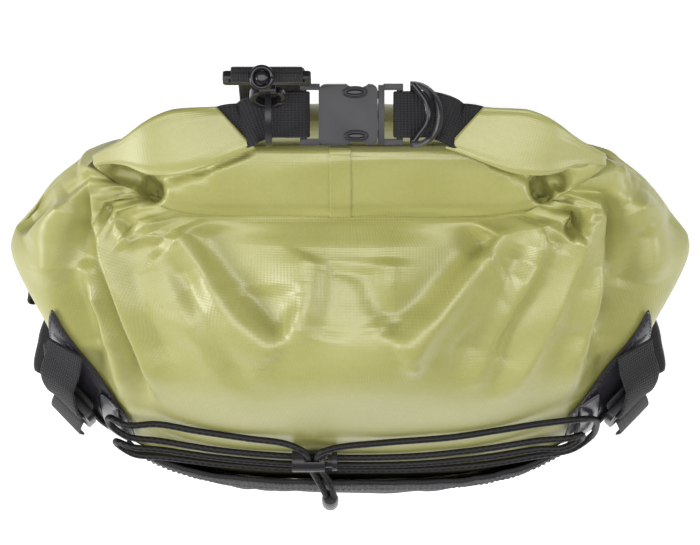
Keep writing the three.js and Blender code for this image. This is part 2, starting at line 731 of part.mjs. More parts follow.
function strapPatch(side) {
  const low = 0.735 * domeHeight;
  const tip = 0.76; // the tip's place between the inner and the outer edge
  const high = (u) => {
    const aside = u > tip ? (u - tip) / (1 - tip) : (tip - u) / tip;
    return lerp(patchShoulder, patchTop, Math.max(0, 1 - 0.85 * aside)) * domeHeight;
  };
  const from = side * (cornerAngle - 19);
  const to = side * (cornerAngle + 12);
  const angles = side < 0 ? [to, from] : [from, to];
  return bagSheet(angles[0], angles[1], () => low, (u) => high(side < 0 ? 1 - u : u), patchSeat, webThick, 12, 8);
}

const webSeat = patchSeat + fit + 1.5 * webThick; // middle of webbing that lies on a patch

const lockWrap = Math.hypot(lockBar, lockThick) / 2 + fit + webThick / 2;

// The frame of a ladder lock on its corner: across, up along the bag and out of it.
function cornerFrame(side) {
  const height = lockTop * domeHeight;
  const place = onBag(side * cornerAngle, height, lockSeat);
  const out = onBag(side * cornerAngle, height, lockSeat + 1).sub(place);
  const across = vector(0, 0, 1).cross(out).normalize();
  const up = out.clone().cross(across).normalize();
  const at = (rise, away) => place.clone().addScaledVector(up, rise).addScaledVector(out, away);
  return { place, out, across, up, at };
}

function sideWebbing(side) {
  const { across, at } = cornerFrame(side);
  const bar = (lockTall - lockBar) / 2;
  const top = webTop * domeHeight;
  const on = (drop, offset) => onBag(side * cornerAngle, top - drop, offset);
  const points = [
    on(0, webSeat + 1), on(9, webSeat + 4.5), on(20, 15.5), at(bar + 11, lockWrap + 2), at(bar + 1, lockWrap),
    at(bar - 0.7 * lockWrap, 0.7 * lockWrap), at(bar - lockWrap, 0), at(bar - 0.7 * lockWrap, -0.7 * lockWrap),
    at(bar, -lockWrap), at(bar + 12, -lockWrap),
  ];
  return sweptBand(points, () => across, webWide, webThick);
}

function ladderLock(side) {
  const { place, out, across, up } = cornerFrame(side);
  const body = solidOf(plate(roundedShape(webWide + 9, lockTall, 4), lockThick, 2));
  const slotTall = 6.4;
  const slotAt = lockTall / 2 - lockBar - slotTall / 2;
  const slots = [slotAt, -slotAt].map((y) => boxAt(webWide + 2, slotTall, lockThick + 2, 0, y, 0));
  const frame = new THREE.Matrix4().makeBasis(across, up, out).setPosition(place);
  return geometryOf(cutFrom(body, slots)).applyMatrix4(frame);
}

// The strap from the ladder lock down to the bottom of the bag, with its tail in front.
function sideStrap(side) {
  const { across, at, place } = cornerFrame(side);
  const bar = -(lockTall - lockBar) / 2;
  const seat = skinSeat + webThick;
  const on = (z, offset) => onBag(side * cornerAngle, z, offset);
  const below = place.z - lockTall / 2;
  const points = [
    at(bar - 40, lockWrap - 1), at(bar - 22, lockWrap + 2), at(bar - 8, lockWrap + 1.4), at(bar - 1, lockWrap),
    at(bar + 0.7 * lockWrap, 0.7 * lockWrap), at(bar + lockWrap, 0), at(bar + 0.7 * lockWrap, -0.7 * lockWrap),
    at(bar, -lockWrap), on(below - 12, seat + 2), on(below - 26, seat + 0.6),
    ...[0.8, 0.6, 0.4, 0.2, 0].map((t) => on(lerp(44, below - 40, t), seat)),
  ];
  return sweptBand(points, () => across, webWide, webThick);
}

function anchorTab(side) {
  const angles = side < 0 ? [-47, -40.5] : [40.5, 47];
  const seat = patchSeat + fit + webThick;
  return bagSheet(angles[0], angles[1], () => 338, () => 391, seat, 2, 4, 5);
}

function bungeeCord() {
  const points = cordRoute.map(([x, z, offset]) => onFront(x, z, offset));
  const path = new THREE.CatmullRomCurve3(points, false, "centripetal");
  path.arcLengthDivisions = 1200;
  const section = new THREE.Shape();
  section.absarc(0, 0, cordWide / 2, 0, Math.PI * 2);
  return new THREE.ExtrudeGeometry(section, { steps: 124, curveSegments: 4, bevelEnabled: false, extrudePath: path });
}

const cordHole = 2 * cordWide + 1.5;

// The frame of the cord lock: X along the plunger, Y out of the bag, Z up along the bag.
function lockFrame() {
  const place = onFront(lockX, lockZ, lockStand);
  const out = onFront(lockX, lockZ, lockStand + 1).sub(place).setX(0).normalize();
  const along = vector(1, 0, 0);
  const up = out.clone().cross(along).normalize();
  return new THREE.Matrix4().makeBasis(along, out, up.negate()).setPosition(place);
}

function sidewaysCylinder(radius, from, to) {
  return new THREE.CylinderGeometry(radius, radius, to - from, 20)
    .rotateZ(Math.PI / 2)
    .translate((from + to) / 2, 0, 0);
}

function lockBarrel() {
  const start = -cordHole / 2 - plungerTravel - 3.6;
  const barrel = solidOf(sidewaysCylinder(lockRadius, start, cordHole / 2 + 2.4));
  const bore = sidewaysCylinder(plungerRadius + fit, start + 2, cordHole);
  const hole = boxAt(cordHole, cordWide + 1, 3 * lockRadius, 0, 0, 0);
  return geometryOf(cutFrom(barrel, [bore, hole])).applyMatrix4(lockFrame());
}

function lockPlunger() {
  const end = cordHole / 2 + 2.4 + fit + plungerTravel;
  const stem = sidewaysCylinder(plungerRadius, -cordHole / 2 - 1.4, end + 1);
  const head = sidewaysCylinder(plungerRadius + 1.6, end, end + 3);
  const slot = boxAt(cordHole + plungerTravel, cordWide + 1, 3 * lockRadius, plungerTravel / 2, 0, 0);
  return geometryOf(cutFrom(joined([stem, head]), [slot])).applyMatrix4(lockFrame());
}

function cordEnd() {
  const top = onFront(-12, 327, endStand);
  const low = onFront(-12, 316, endStand);
  const long = 19;
  const profile = [[0, 0], [3.4, 0.4], [5, 3], [5.2, 12], [4.6, long - 0.6], [4, long], [0, long]];
  const piece = new THREE.LatheGeometry(profile.map(([r, y]) => new THREE.Vector2(r, y)), 14);
  const up = top.clone().sub(low).normalize();
  const turn = new THREE.Quaternion().setFromUnitVectors(vector(0, 1, 0), up);
  piece.applyQuaternion(turn);
  const foot = top.clone().addScaledVector(up, -long);
  return piece.translate(foot.x, foot.y, foot.z);
}

// How far the pocket stands off the bag: across (0 to 1) and up to its mouth (0 to 1).
function pocketStand(u, v) {
  return skinSeat + pocketBulge * Math.sin(Math.PI * u) ** 0.6 * Math.sin(Math.PI * (0.04 + 0.46 * v));
}

function pocketSheet(low, high, thick, up, vAt) {
  const at = (extra) => (u, v) =>
    onBag(lerp(-pocketAngle, pocketAngle, u), lerp(low, high, v), pocketStand(u, vAt(v)) + extra);
  return thickSheet(20, up, at(0), at(thick));
}

function frontPocket() {
  return pocketSheet(16, pocketHigh, pocketWall, 7, (v) => v);
}

function pocketBinding() {
  const low = pocketHigh + fit;
  return pocketSheet(low, low + bindingHigh, pocketWall + 1, 2, () => 1);
}

function backPad() {
  const reach = THREE.MathUtils.radToDeg(Math.asin((padWide / 2 / (0.865 * earReach)) ** 1.5));
  return bagSheet(180 - reach, 180 + reach, () => padFoot, () => padFoot + padHigh, skinSeat, padThick, 12, 8);
}

const padFace = backReach + skinSeat + padThick;

// The middle line of a shoulder strap, from the top of the back pad down to its adjuster.
function strapLine(side) {
  const seat = padFace + fit + strapThick / 2;
  const top = padFoot + padHigh - strapThick / 2 - 1;
  return strapRoute.map(({ aside, out, up }) =>
    vector(side * aside * padWide, seat + out * strapBow, lerp(strapFoot, top, up)));
}

// The frame of a strap adjuster: its middle hangs below the strap's foot, in line with the strap.
function adjusterFrame(side) {
  const [before, foot] = strapLine(side).slice(-2);
  const up = before.clone().sub(foot).normalize();
  const across = vector(1, 0, 0).addScaledVector(up, -up.x).normalize();
  const out = up.clone().cross(across);
  const place = foot.clone().addScaledVector(up, -adjusterTall / 2 - 2 * fit);
  const at = (rise, away) => place.clone().addScaledVector(up, rise).addScaledVector(out, away);
  return { place, up, across, out, at };
}

// The padded strap, with the loop at its foot that holds the adjuster's upper bar.
function shoulderStrap(side) {
  const padded = sweptBand(smooth(strapLine(side), 14), () => vector(1, 0, 0), strapWide, strapThick, paddedSection);
  const { across, at } = adjusterFrame(side);
  const bar = (adjusterTall - lockBar) / 2;
  const inside = adjusterTall / 2 + strapThick / 2;
  const loop = [
    at(inside, 0.6 * lockWrap), at(bar + 1, lockWrap), at(bar - 0.7 * lockWrap, 0.7 * lockWrap), at(bar - lockWrap, 0),
    at(bar - 0.7 * lockWrap, -0.7 * lockWrap), at(bar + 1, -lockWrap), at(inside, -0.6 * lockWrap),
  ];
  return geometryOf(joined([padded, sweptBand(loop, () => across, webWide, webThick)]));
}

function strapAdjuster(side) {
  const { place, up, across, out } = adjusterFrame(side);
  const body = solidOf(plate(roundedShape(webWide + 9, adjusterTall, 3), lockThick, 2));
  const slotAt = adjusterTall / 2 - lockBar - adjusterSlot / 2;
  const slots = [slotAt, -slotAt].map((y) => boxAt(webWide + 2, adjusterSlot, lockThick + 2, 0, y, 0));
  const frame = new THREE.Matrix4().makeBasis(across, up, across.clone().cross(up)).setPosition(place);
  return geometryOf(cutFrom(body, slots)).applyMatrix4(frame);
}

// The webbing from the adjuster's lower bar down to the foot of the bag, with its tail outside.
function strapWebbing(side) {
  const { across, at } = adjusterFrame(side);
  const bar = -(adjusterTall - lockBar) / 2;
  const seat = fit + webThick;
  const low = onBag(side * footAngle, webFoot, seat);
  const high = onBag(side * footAngle, webFoot + 16, seat);
  const tangent = onBag(side * (footAngle - side * 2), webFoot, seat).sub(onBag(side * (footAngle + side * 2), webFoot, seat));
  const middle = at(bar - 12, -lockWrap).lerp(high, 0.5);
  const points = [
    at(bar - 34, lockWrap), at(bar - 18, lockWrap + 1), at(bar - 8, lockWrap + 1), at(bar - 1, lockWrap),
    at(bar + 0.7 * lockWrap, 0.7 * lockWrap), at(bar + lockWrap, 0), at(bar + 0.7 * lockWrap, -0.7 * lockWrap),
    at(bar, -lockWrap), at(bar - 8, -lockWrap), middle, high, low,
  ];
  const turned = across.clone().lerp(tangent.normalize(), 0.5);
  return sweptBand(points, (i) => (i < 9 ? across : i === 9 ? turned : tangent), webWide, webThick);
}

function hipWing(side) {
  const at = (extra) => (u, v) => {
    const along = side < 0 ? 1 - u : u;
    const angle = side * lerp(wingFrom, wingTo, along);
    const flare = wingFlare * (1 - along) ** 1.4;
    const tall = wingHigh * (0.62 + 0.38 * Math.sqrt(along));
    return onBag(angle, wingZ + (v - 0.5) * tall, fit + flare + extra);
  };
  return thickSheet(9, 3, at(0), at(wingThick));
}

const root = new THREE.Group();
const pack = new THREE.Group();
root.add(pack);

function add(parent, name, geometry, colour, roughness) {
  const material = new THREE.MeshStandardMaterial({ color: colour, roughness, metalness: 0 });
  const mesh = new THREE.Mesh(geometry, material);
  mesh.name = name;
  parent.add(mesh);
  return mesh;
}

const tarpaulin = 0xa9a86b;
const webbing = 0x242226;
const plastic = 0x3f3d42;
const patchGrey = 0x6e6b74;
const paddedCloth = 0x2b2a2e;

add(pack, "bag_body", bagBody(), tarpaulin, 0.35);
add(pack, "rolled_collar", rolledCollar(), tarpaulin, 0.35);

const fastening = new THREE.Group();
fastening.position.set(0, buckleY, buckleZ);
fastening.rotation.x = degrees(buckleTilt);
pack.add(fastening);
for (const { side, word } of sides) {
  add(fastening, `collar_webbing_${word}`, collarWebbing(side), webbing, 0.85);
}
add(fastening, "buckle_socket", buckleSocket(), plastic, 0.4);
add(fastening, "buckle_plug", bucklePlug(), plastic, 0.4);

const standingRing = add(fastening, "d_ring_left", dRing(), plastic, 0.35);
standingRing.position.set(-44, ringShift, 0);
standingRing.rotation.y = -Math.PI / 2;
const lyingRing = add(fastening, "d_ring_right", dRing(), plastic, 0.35);
lyingRing.position.set(35, 0, 0);
lyingRing.rotation.y = -degrees(ringLean);

// The hook hangs from the standing ring's bow, a little behind its top.
const bowAngle = degrees(30);
const bowAcross = ringTall / 2 - barThick / 2;
const bowOut = ringDeep - barThick;
const stemTurn = Math.atan2(bowAcross * Math.cos(bowAngle), bowOut * Math.sin(bowAngle));
const hook = new THREE.Group();
const hookRise = hookInner - barThick / 2 - fit;
hook.position.set(
  standingRing.position.x,
  ringShift + bowAcross * Math.sin(bowAngle) + hookRise * Math.cos(stemTurn),
  bowOut * Math.cos(bowAngle) + hookRise * Math.sin(stemTurn),
);
hook.rotation.x = stemTurn;
fastening.add(hook);
add(hook, "hook_body", hookBody(), plastic, 0.25);
add(hook, "hook_gate", hookGate(), plastic, 0.25);
add(hook, "hook_swivel", hookSwivel(), plastic, 0.25);

function haulStrap() {
  root.updateMatrixWorld(true);
  const outerBar = hookOuter - 1.5 + stemLong + fit + 1.5 + loopDeep - barThick / 2;
  const bar = hook.localToWorld(vector(0, outerBar, 0));
  const up = hook.localToWorld(vector(0, outerBar + 1, 0)).sub(bar);
  const behind = vector(0, up.z, -up.y);
  const wrap = barThick / 2 + 2 * fit + webThick / 2 + 0.4;
  const at = (out, rise) => bar.clone().addScaledVector(behind, out).addScaledVector(up, rise);
  const seat = backReach + 2 * fit + webThick / 2;
  const points = [
    at(9, -haulTuck), at(6, -haulTuck / 2), at(3.4, -wrap - 1.2), at(0, -wrap), at(-wrap * 0.75, -wrap * 0.72), at(-wrap, 0),
    at(-wrap * 0.72, wrap * 0.72), at(0, wrap), at(wrap * 0.72, wrap * 0.72), at(wrap + 0.6, 0), at(wrap + 4, -9),
    at(13.5, -haulTuck),
    ...haulRoute.map(({ out, up }) => vector(bar.x, seat + out * haulStand, domeHeight + up * haulTail)),
  ];
  return sweptBand(points, () => vector(1, 0, 0), haulWide, webThick);
}

add(pack, "haul_strap", haulStrap(), webbing, 0.85);
for (const { side, word } of sides) {
  add(pack, `strap_patch_${word}`, strapPatch(side), patchGrey, 0.3);
  add(pack, `side_webbing_${word}`, sideWebbing(side), webbing, 0.85);
  add(pack, `ladder_lock_${word}`, ladderLock(side), plastic, 0.4);
  add(pack, `side_strap_${word}`, sideStrap(side), webbing, 0.85);
  add(pack, `anchor_tab_${word}`, anchorTab(side), patchGrey, 0.5);
  add(pack, `shoulder_strap_${word}`, shoulderStrap(side), paddedCloth, 0.9);
  add(pack, `strap_adjuster_${word}`, strapAdjuster(side), plastic, 0.4);
  add(pack, `strap_webbing_${word}`, strapWebbing(side), webbing, 0.85);
  add(pack, `hip_wing_${word}`, hipWing(side), paddedCloth, 0.9);
}
add(pack, "bungee_cord", bungeeCord(), paddedCloth, 0.8);
add(pack, "cord_lock_barrel", lockBarrel(), plastic, 0.35);
add(pack, "cord_lock_plunger", lockPlunger(), plastic, 0.35);
add(pack, "cord_end", cordEnd(), plastic, 0.35);
add(pack, "front_pocket", frontPocket(), paddedCloth, 0.9);
add(pack, "pocket_binding", pocketBinding(), webbing, 0.85);
add(pack, "back_pad", backPad(), paddedCloth, 0.9);

// The origin is the middle of the box's floor.
const box = new THREE.Box3().setFromObject(root, true);
pack.position.set(-(box.min.x + box.max.x) / 2, -(box.min.y + box.max.y) / 2, -box.min.z);

export default root;
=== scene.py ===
import math

import bmesh
import bpy
import numpy as np
from mathutils import Matrix, Vector, noise


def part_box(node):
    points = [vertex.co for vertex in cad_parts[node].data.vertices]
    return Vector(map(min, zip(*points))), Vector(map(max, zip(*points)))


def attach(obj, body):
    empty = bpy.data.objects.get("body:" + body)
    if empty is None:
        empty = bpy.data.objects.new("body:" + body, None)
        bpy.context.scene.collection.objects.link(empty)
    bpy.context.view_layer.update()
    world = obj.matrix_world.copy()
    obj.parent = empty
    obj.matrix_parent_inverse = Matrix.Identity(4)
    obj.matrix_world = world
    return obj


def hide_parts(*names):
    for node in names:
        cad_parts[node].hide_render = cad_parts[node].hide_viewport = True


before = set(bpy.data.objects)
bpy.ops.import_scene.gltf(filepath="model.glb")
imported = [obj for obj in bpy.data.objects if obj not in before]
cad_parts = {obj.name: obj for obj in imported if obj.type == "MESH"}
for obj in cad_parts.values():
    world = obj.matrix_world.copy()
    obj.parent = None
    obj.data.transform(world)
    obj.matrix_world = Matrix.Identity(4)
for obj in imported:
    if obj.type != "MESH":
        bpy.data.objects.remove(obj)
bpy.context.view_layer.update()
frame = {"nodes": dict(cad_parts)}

# A roll-top dry backpack of PVC tarpaulin. Lengths are in millimetres until a mesh is made.
# The front with the pocket faces -Y, the wearer's back faces +Y.

metre = 0.001
centring = np.array([0.0, -5.045, 0.0])  # from the form's own origin to the frame's


# Camera: high above the front, as in the photo

camera = {
    "buckle": np.array([0.0, 75.0, 531.0]),  # the middle of the buckle, 1.5 m away
    "distance": 1500.0,
    "elevation": 82.0,
    "lens": 142.0,
    "sensor": 36.0,
    "aimUp": 62.3,  # how far the picture's middle lies above the origin, along the picture
}
rise = math.radians(camera["elevation"])
towardsCamera = np.array([0.0, -math.cos(rise), math.sin(rise)])
pictureUp = np.array([0.0, math.sin(rise), math.cos(rise)])
pixelScale = camera["sensor"] / camera["lens"] / 700


def inPicture(points):  # pixel places of points in the photo's 700 x 545 frame
    away = camera["distance"] + (camera["buckle"] - points) @ towardsCamera
    x = 350 + points[..., 0] / (away * pixelScale)
    y = 272.5 - (points @ pictureUp - camera["aimUp"]) / (away * pixelScale)
    return np.stack([x, y], -1)


def placeCamera():
    lens = bpy.data.cameras.new("camera")
    lens.lens = camera["lens"]
    lens.sensor_width = camera["sensor"]
    lens.clip_end = 20
    holder = bpy.data.objects.new("camera", lens)
    bpy.context.scene.collection.objects.link(holder)
    depth = camera["buckle"] @ towardsCamera + camera["distance"]
    place = towardsCamera * depth + pictureUp * camera["aimUp"] + centring
    holder.location = Vector(place * metre)
    turn = Matrix([[1, 0, 0], list(pictureUp), list(towardsCamera)]).transposed()
    holder.rotation_euler = turn.to_euler()
    bpy.context.scene.camera = holder


placeCamera()
print("camera placed")


# Materials

def linear(hexText):
    channels = [int(hexText[i:i + 2], 16) / 255 for i in (1, 3, 5)]
    return tuple(c / 12.92 if c <= 0.04045 else ((c + 0.055) / 1.055) ** 2.4 for c in channels) + (1.0,)


def addNode(material, kind, settings=None, links=None):
    node = material.node_tree.nodes.new(kind)
    for name, value in (settings or {}).items():
        if isinstance(name, str) and hasattr(node, name):
            setattr(node, name, value)
        else:
            node.inputs[name].default_value = value
    for name, source in (links or {}).items():
        material.node_tree.links.new(source, node.inputs[name])
    return node


def newMaterial(name, finish):
    material = bpy.data.materials.new(name)
    material.use_nodes = True
    shader = material.node_tree.nodes["Principled BSDF"]
    for socket, value in finish.items():
        shader.inputs[socket].default_value = linear(value) if isinstance(value, str) else value
    return material, shader


def bandScale(period):  # the wave texture's scale for stripes a period apart, in mm
    return 2 * math.pi / 20 / (period * metre)


def colourMix(material, shader, low, high, factor):
    mix = addNode(material, "ShaderNodeMix", {"data_type": "RGBA", 6: linear(low), 7: linear(high)},
                  {0: factor})
    material.node_tree.links.new(mix.outputs[2], shader.inputs["Base Color"])
    return mix


def wovenBump(material, shader, periodAcross, periodAlong, depth, strength):
    place = addNode(material, "ShaderNodeUVMap")
    across = addNode(material, "ShaderNodeTexWave",
                     {"bands_direction": "X", "Scale": bandScale(periodAcross)},
                     {"Vector": place.outputs["UV"]})
    along = addNode(material, "ShaderNodeTexWave", {"bands_direction": "Y", "Scale": bandScale(periodAlong)},
                    {"Vector": place.outputs["UV"]})
    weave = addNode(material, "ShaderNodeMath", {"operation": "ADD"},
                    {0: across.outputs["Fac"], 1: along.outputs["Fac"]})
    bump = addNode(material, "ShaderNodeBump", {"Strength": strength, "Distance": depth * metre},
                   {"Height": weave.outputs[0]})
    material.node_tree.links.new(bump.outputs["Normal"], shader.inputs["Normal"])
    return weave, bump


def pvcTarpaulin():
    # PVC tarpaulin: woven polyester between two calendered PVC skins. The eye sees a satin,
    # slightly waxy sheet, broad highlights and the threads as a fine raised grid.
    look = {"thread": 1.6, "deep": "#9c9b54", "base": "#a5a35f", "pale": "#acaa68"}
    material, shader = newMaterial("pvcTarpaulinCalendered", {
        "Base Color": look["base"], "Roughness": 0.42, "IOR": 1.53, "Specular IOR Level": 0.75,
        "Coat Weight": 0.3, "Coat Roughness": 0.38,
    })
    # real threads lie about 1.1 mm apart; drawn at 1.6 mm, or they would be finer than the picture shows
    wovenBump(material, shader, look["thread"], look["thread"], 0.12, 0.35)
    place = addNode(material, "ShaderNodeTexCoord")
    cloud = addNode(material, "ShaderNodeTexNoise", {"Scale": 14.0, "Detail": 4.0},
                    {"Vector": place.outputs["Object"]})
    fine = addNode(material, "ShaderNodeTexNoise", {"Scale": 420.0, "Detail": 2.0},
                   {"Vector": place.outputs["Object"]})
    both = addNode(material, "ShaderNodeMath", {"operation": "MULTIPLY_ADD", 1: 0.35},
                   {0: fine.outputs["Fac"], 2: cloud.outputs["Fac"]})
    span = addNode(material, "ShaderNodeMapRange", {"From Min": 0.4, "From Max": 0.95},
                   {"Value": both.outputs[0]})
    colourMix(material, shader, look["deep"], look["pale"], span.outputs["Result"])
    wear = addNode(material, "ShaderNodeMapRange", {"To Min": 0.36, "To Max": 0.5},
                   {"Value": cloud.outputs["Fac"]})
    material.node_tree.links.new(wear.outputs["Result"], shader.inputs["Roughness"])
    return material


def wovenWebbing():
    # Polyester webbing, plain woven with raised ribs: matt black, with a faint grey glint painted onto the
    # rib tops as a painted highlight.
    look = {"rib": 1.4, "pick": 1.9, "deep": "#0c0c0d", "pale": "#222024"}
    material, shader = newMaterial("polyesterWebbingWoven", {
        "Base Color": look["deep"], "Roughness": 0.75, "IOR": 1.5,
        "Sheen Weight": 0.08, "Sheen Roughness": 0.4,
    })
    weave, _ = wovenBump(material, shader, look["rib"], look["pick"], 0.35, 0.8)
    # painted highlight: the raised ribs of the weave are painted paler grey
    half = addNode(material, "ShaderNodeMath", {"operation": "MULTIPLY", 1: 0.5}, {0: weave.outputs[0]})
    colourMix(material, shader, look["deep"], look["pale"], half.outputs[0])
    return material


def mouldedAcetal(name, roughness, low, high):
    # Acetal from a spark-eroded mould: near black with a fine satin grain that spreads its highlights.
    material, shader = newMaterial(name, {
        "Base Color": low, "Roughness": roughness, "IOR": 1.48, "Specular IOR Level": 0.36,
    })
    place = addNode(material, "ShaderNodeTexCoord")
    grain = addNode(material, "ShaderNodeTexNoise", {"Scale": 900.0, "Detail": 3.0},
                    {"Vector": place.outputs["Object"]})
    cloud = addNode(material, "ShaderNodeTexNoise", {"Scale": 60.0, "Detail": 3.0},
                    {"Vector": place.outputs["Object"]})
    bump = addNode(material, "ShaderNodeBump", {"Strength": 0.25, "Distance": 0.00012},
                   {"Height": grain.outputs["Fac"]})
    material.node_tree.links.new(bump.outputs["Normal"], shader.inputs["Normal"])
    colourMix(material, shader, low, high, cloud.outputs["Fac"])
    return material


def coatedPatch():
    # Polyurethane-coated nylon: a smooth, glossy dark grey film over a tight plain weave.
    look = {"thread": 1.4, "deep": "#29272d", "pale": "#3a383f"}
    material, shader = newMaterial("coatedNylonPatch", {
        "Base Color": look["deep"], "Roughness": 0.3, "IOR": 1.5, "Coat Weight": 0.3, "Coat Roughness": 0.15,
    })
    wovenBump(material, shader, look["thread"], look["thread"], 0.08, 0.3)
    place = addNode(material, "ShaderNodeTexCoord")
    cloud = addNode(material, "ShaderNodeTexNoise", {"Scale": 45.0, "Detail": 3.0},
                    {"Vector": place.outputs["Object"]})
    colourMix(material, shader, look["deep"], look["pale"], cloud.outputs["Fac"])
    return material


def packCloth():
    # Textured nylon pack cloth, plain woven and dyed black: dull, soft-edged, with a dusty sheen; the raised
    # threads are painted paler as a painted highlight.
    look = {"thread": 1.5, "deep": "#0f0e10", "pale": "#242226"}
    material, shader = newMaterial("nylonPackClothWoven", {
        "Base Color": look["deep"], "Roughness": 0.8, "IOR": 1.5, "Sheen Weight": 0.1, "Sheen Roughness": 0.5,
    })
    weave, _ = wovenBump(material, shader, look["thread"], look["thread"], 0.22, 0.6)
    # painted highlight: the raised threads of the weave are painted paler
    half = addNode(material, "ShaderNodeMath", {"operation": "MULTIPLY", 1: 0.5}, {0: weave.outputs[0]})
    colourMix(material, shader, look["deep"], look["pale"], half.outputs[0])
    return material


def braidedCord():
    # Elastic cord: a braided polyester sleeve over rubber, black, its strands crossing on the slant; the
    # raised crossings are painted paler as a painted highlight.
    look = {"strand": 2.6, "deep": "#0b0a0c", "pale": "#1c1a1e"}
    material, shader = newMaterial("elasticCordBraided", {
        "Base Color": look["deep"], "Roughness": 0.5, "IOR": 1.4,
    })
    place = addNode(material, "ShaderNodeUVMap")
    waves = []
    for side in (1, -1):
        turn = addNode(material, "ShaderNodeMapping", {"Rotation": (0, 0, side * math.radians(40))},
                       {"Vector": place.outputs["UV"]})
        waves.append(addNode(material, "ShaderNodeTexWave", {"Scale": bandScale(look["strand"])},
                             {"Vector": turn.outputs["Vector"]}))
    braid = addNode(material, "ShaderNodeMath", {"operation": "MULTIPLY"},
                    {0: waves[0].outputs["Fac"], 1: waves[1].outputs["Fac"]})
    bump = addNode(material, "ShaderNodeBump", {"Strength": 0.5, "Distance": 0.0003},
                   {"Height": braid.outputs[0]})
    material.node_tree.links.new(bump.outputs["Normal"], shader.inputs["Normal"])
    # painted highlight: where the strands cross and stand highest, the braid is painted paler
    colourMix(material, shader, look["deep"], look["pale"], braid.outputs[0])
    return material


def sewingThread():
    # Bonded polyester thread, lightly waxed: dark grey with a small glint on each stitch.
    material, shader = newMaterial("sewingThreadBonded",
                                   {"Base Color": "#4a474e", "Roughness": 0.5, "IOR": 1.5})
    place = addNode(material, "ShaderNodeTexCoord")
    strand = addNode(material, "ShaderNodeTexNoise", {"Scale": 1500.0}, {"Vector": place.outputs["Object"]})
    colourMix(material, shader, "#3c3a40", "#605d66", strand.outputs["Fac"])
    return material


tarpaulin = pvcTarpaulin()
webbing = wovenWebbing()
satinPlastic = mouldedAcetal("acetalMouldedSatin", 0.34, "#1f1e21", "#2c2a2e")
glossPlastic = mouldedAcetal("acetalMouldedGlossy", 0.16, "#18171a", "#252327")
patchCloth = coatedPatch()
blackCloth = packCloth()
cordBraid = braidedCord()
thread = sewingThread()
print("materials made")


# Making meshes

def unit(v):
    v = np.asarray(v, float)
    return v / np.maximum(np.linalg.norm(v, axis=-1, keepdims=True), 1e-9)


def newPiece(name, points, faces, material, nodes=(), body="bag", uvs=None, smooth=True):
    mesh = bpy.data.meshes.new(name)
    places = (np.asarray(points, float) + centring) * metre
    mesh.from_pydata([tuple(p) for p in places], [], [tuple(int(i) for i in f) for f in faces])
    if uvs is not None:
        layer = mesh.uv_layers.new(name="size")
        layer.data.foreach_set("uv", (np.asarray(uvs, float) * metre).ravel())
    mesh.materials.append(material)
    mesh.validate()
    if smooth:
        mesh.polygons.foreach_set("use_smooth", [True] * len(mesh.polygons))
    piece = bpy.data.objects.new(name, mesh)
    bpy.context.scene.collection.objects.link(piece)
    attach(piece, body)
    if nodes:
        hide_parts(*nodes)
    return piece


def gridFaces(rows, columns, wrap):  # quads over rows x columns points, wrapping round the columns or not
    spans = columns if wrap else columns - 1
    r, c = np.meshgrid(np.arange(rows - 1), np.arange(spans), indexing="ij")
    nextC = (c + 1) % columns
    faces = np.stack([r * columns + c, r * columns + nextC,
                      (r + 1) * columns + nextC, (r + 1) * columns + c], -1)
    corners = np.stack([np.stack([r, c], -1), np.stack([r, c + 1], -1),
                        np.stack([r + 1, c + 1], -1), np.stack([r + 1, c], -1)], -2)
    return faces.reshape(-1, 4), corners.reshape(-1, 4, 2)


def curveThrough(points, count, alpha=0.5):  # a smooth line through the points, evenly spaced
    p = np.asarray(points, float)
    ends = np.vstack([2 * p[0] - p[1], p, 2 * p[-1] - p[-2]])
    pieces = []
    for i in range(1, len(ends) - 2):
        a, b, c, d = ends[i - 1:i + 3]
        knots = [0.0]
        for u, v in ((a, b), (b, c), (c, d)):
            knots.append(knots[-1] + max(np.linalg.norm(v - u), 1e-4) ** alpha)
        t0, t1, t2, t3 = knots
        t = np.linspace(t1, t2, 24, endpoint=False)[:, None]
        a1 = (t1 - t) / (t1 - t0) * a + (t - t0) / (t1 - t0) * b
        a2 = (t2 - t) / (t2 - t1) * b + (t - t1) / (t2 - t1) * c
        a3 = (t3 - t) / (t3 - t2) * c + (t - t2) / (t3 - t2) * d
        b1 = (t2 - t) / (t2 - t0) * a1 + (t - t0) / (t2 - t0) * a2
        b2 = (t3 - t) / (t3 - t1) * a2 + (t - t1) / (t3 - t1) * a3
        pieces.append((t2 - t) / (t2 - t1) * b1 + (t - t1) / (t2 - t1) * b2)
    line = np.vstack(pieces + [p[-1:]])
    return evenly(line, count)


def evenly(line, count):
    steps = np.linalg.norm(np.diff(line, axis=0), axis=1)
    at = np.concatenate([[0], np.cumsum(steps)])
    want = np.linspace(0, at[-1], count)
    return np.stack([np.interp(want, at, line[:, k]) for k in range(line.shape[1])], -1)


def lengthsAlong(line):
    return np.concatenate([[0], np.cumsum(np.linalg.norm(np.diff(line, axis=0), axis=1))])


def flatOutline(wide, thick):  # webbing's section, with soft edges
    round_ = thick * 0.5
    side = [(wide / 2 - round_ + round_ * math.cos(a), round_ * math.sin(a))
            for a in np.linspace(-1.35, 1.35, 5)]
    top = [(x, thick / 2) for x in np.linspace(wide / 2 - wide / 8, -wide / 2 + wide / 8, 7)]
    return np.array(side + top + [(-x, -y) for x, y in side] + [(-x, -y) for x, y in top])


def paddedOutline(wide, thick, count=40, sides=0.5, crown=0.7):
    turn = np.linspace(0, 2 * math.pi, count, endpoint=False)
    c, s = np.cos(turn), np.sin(turn)
    return np.stack([wide / 2 * np.sign(c) * np.abs(c) ** sides,
                     thick / 2 * np.sign(s) * np.abs(s) ** crown], -1)


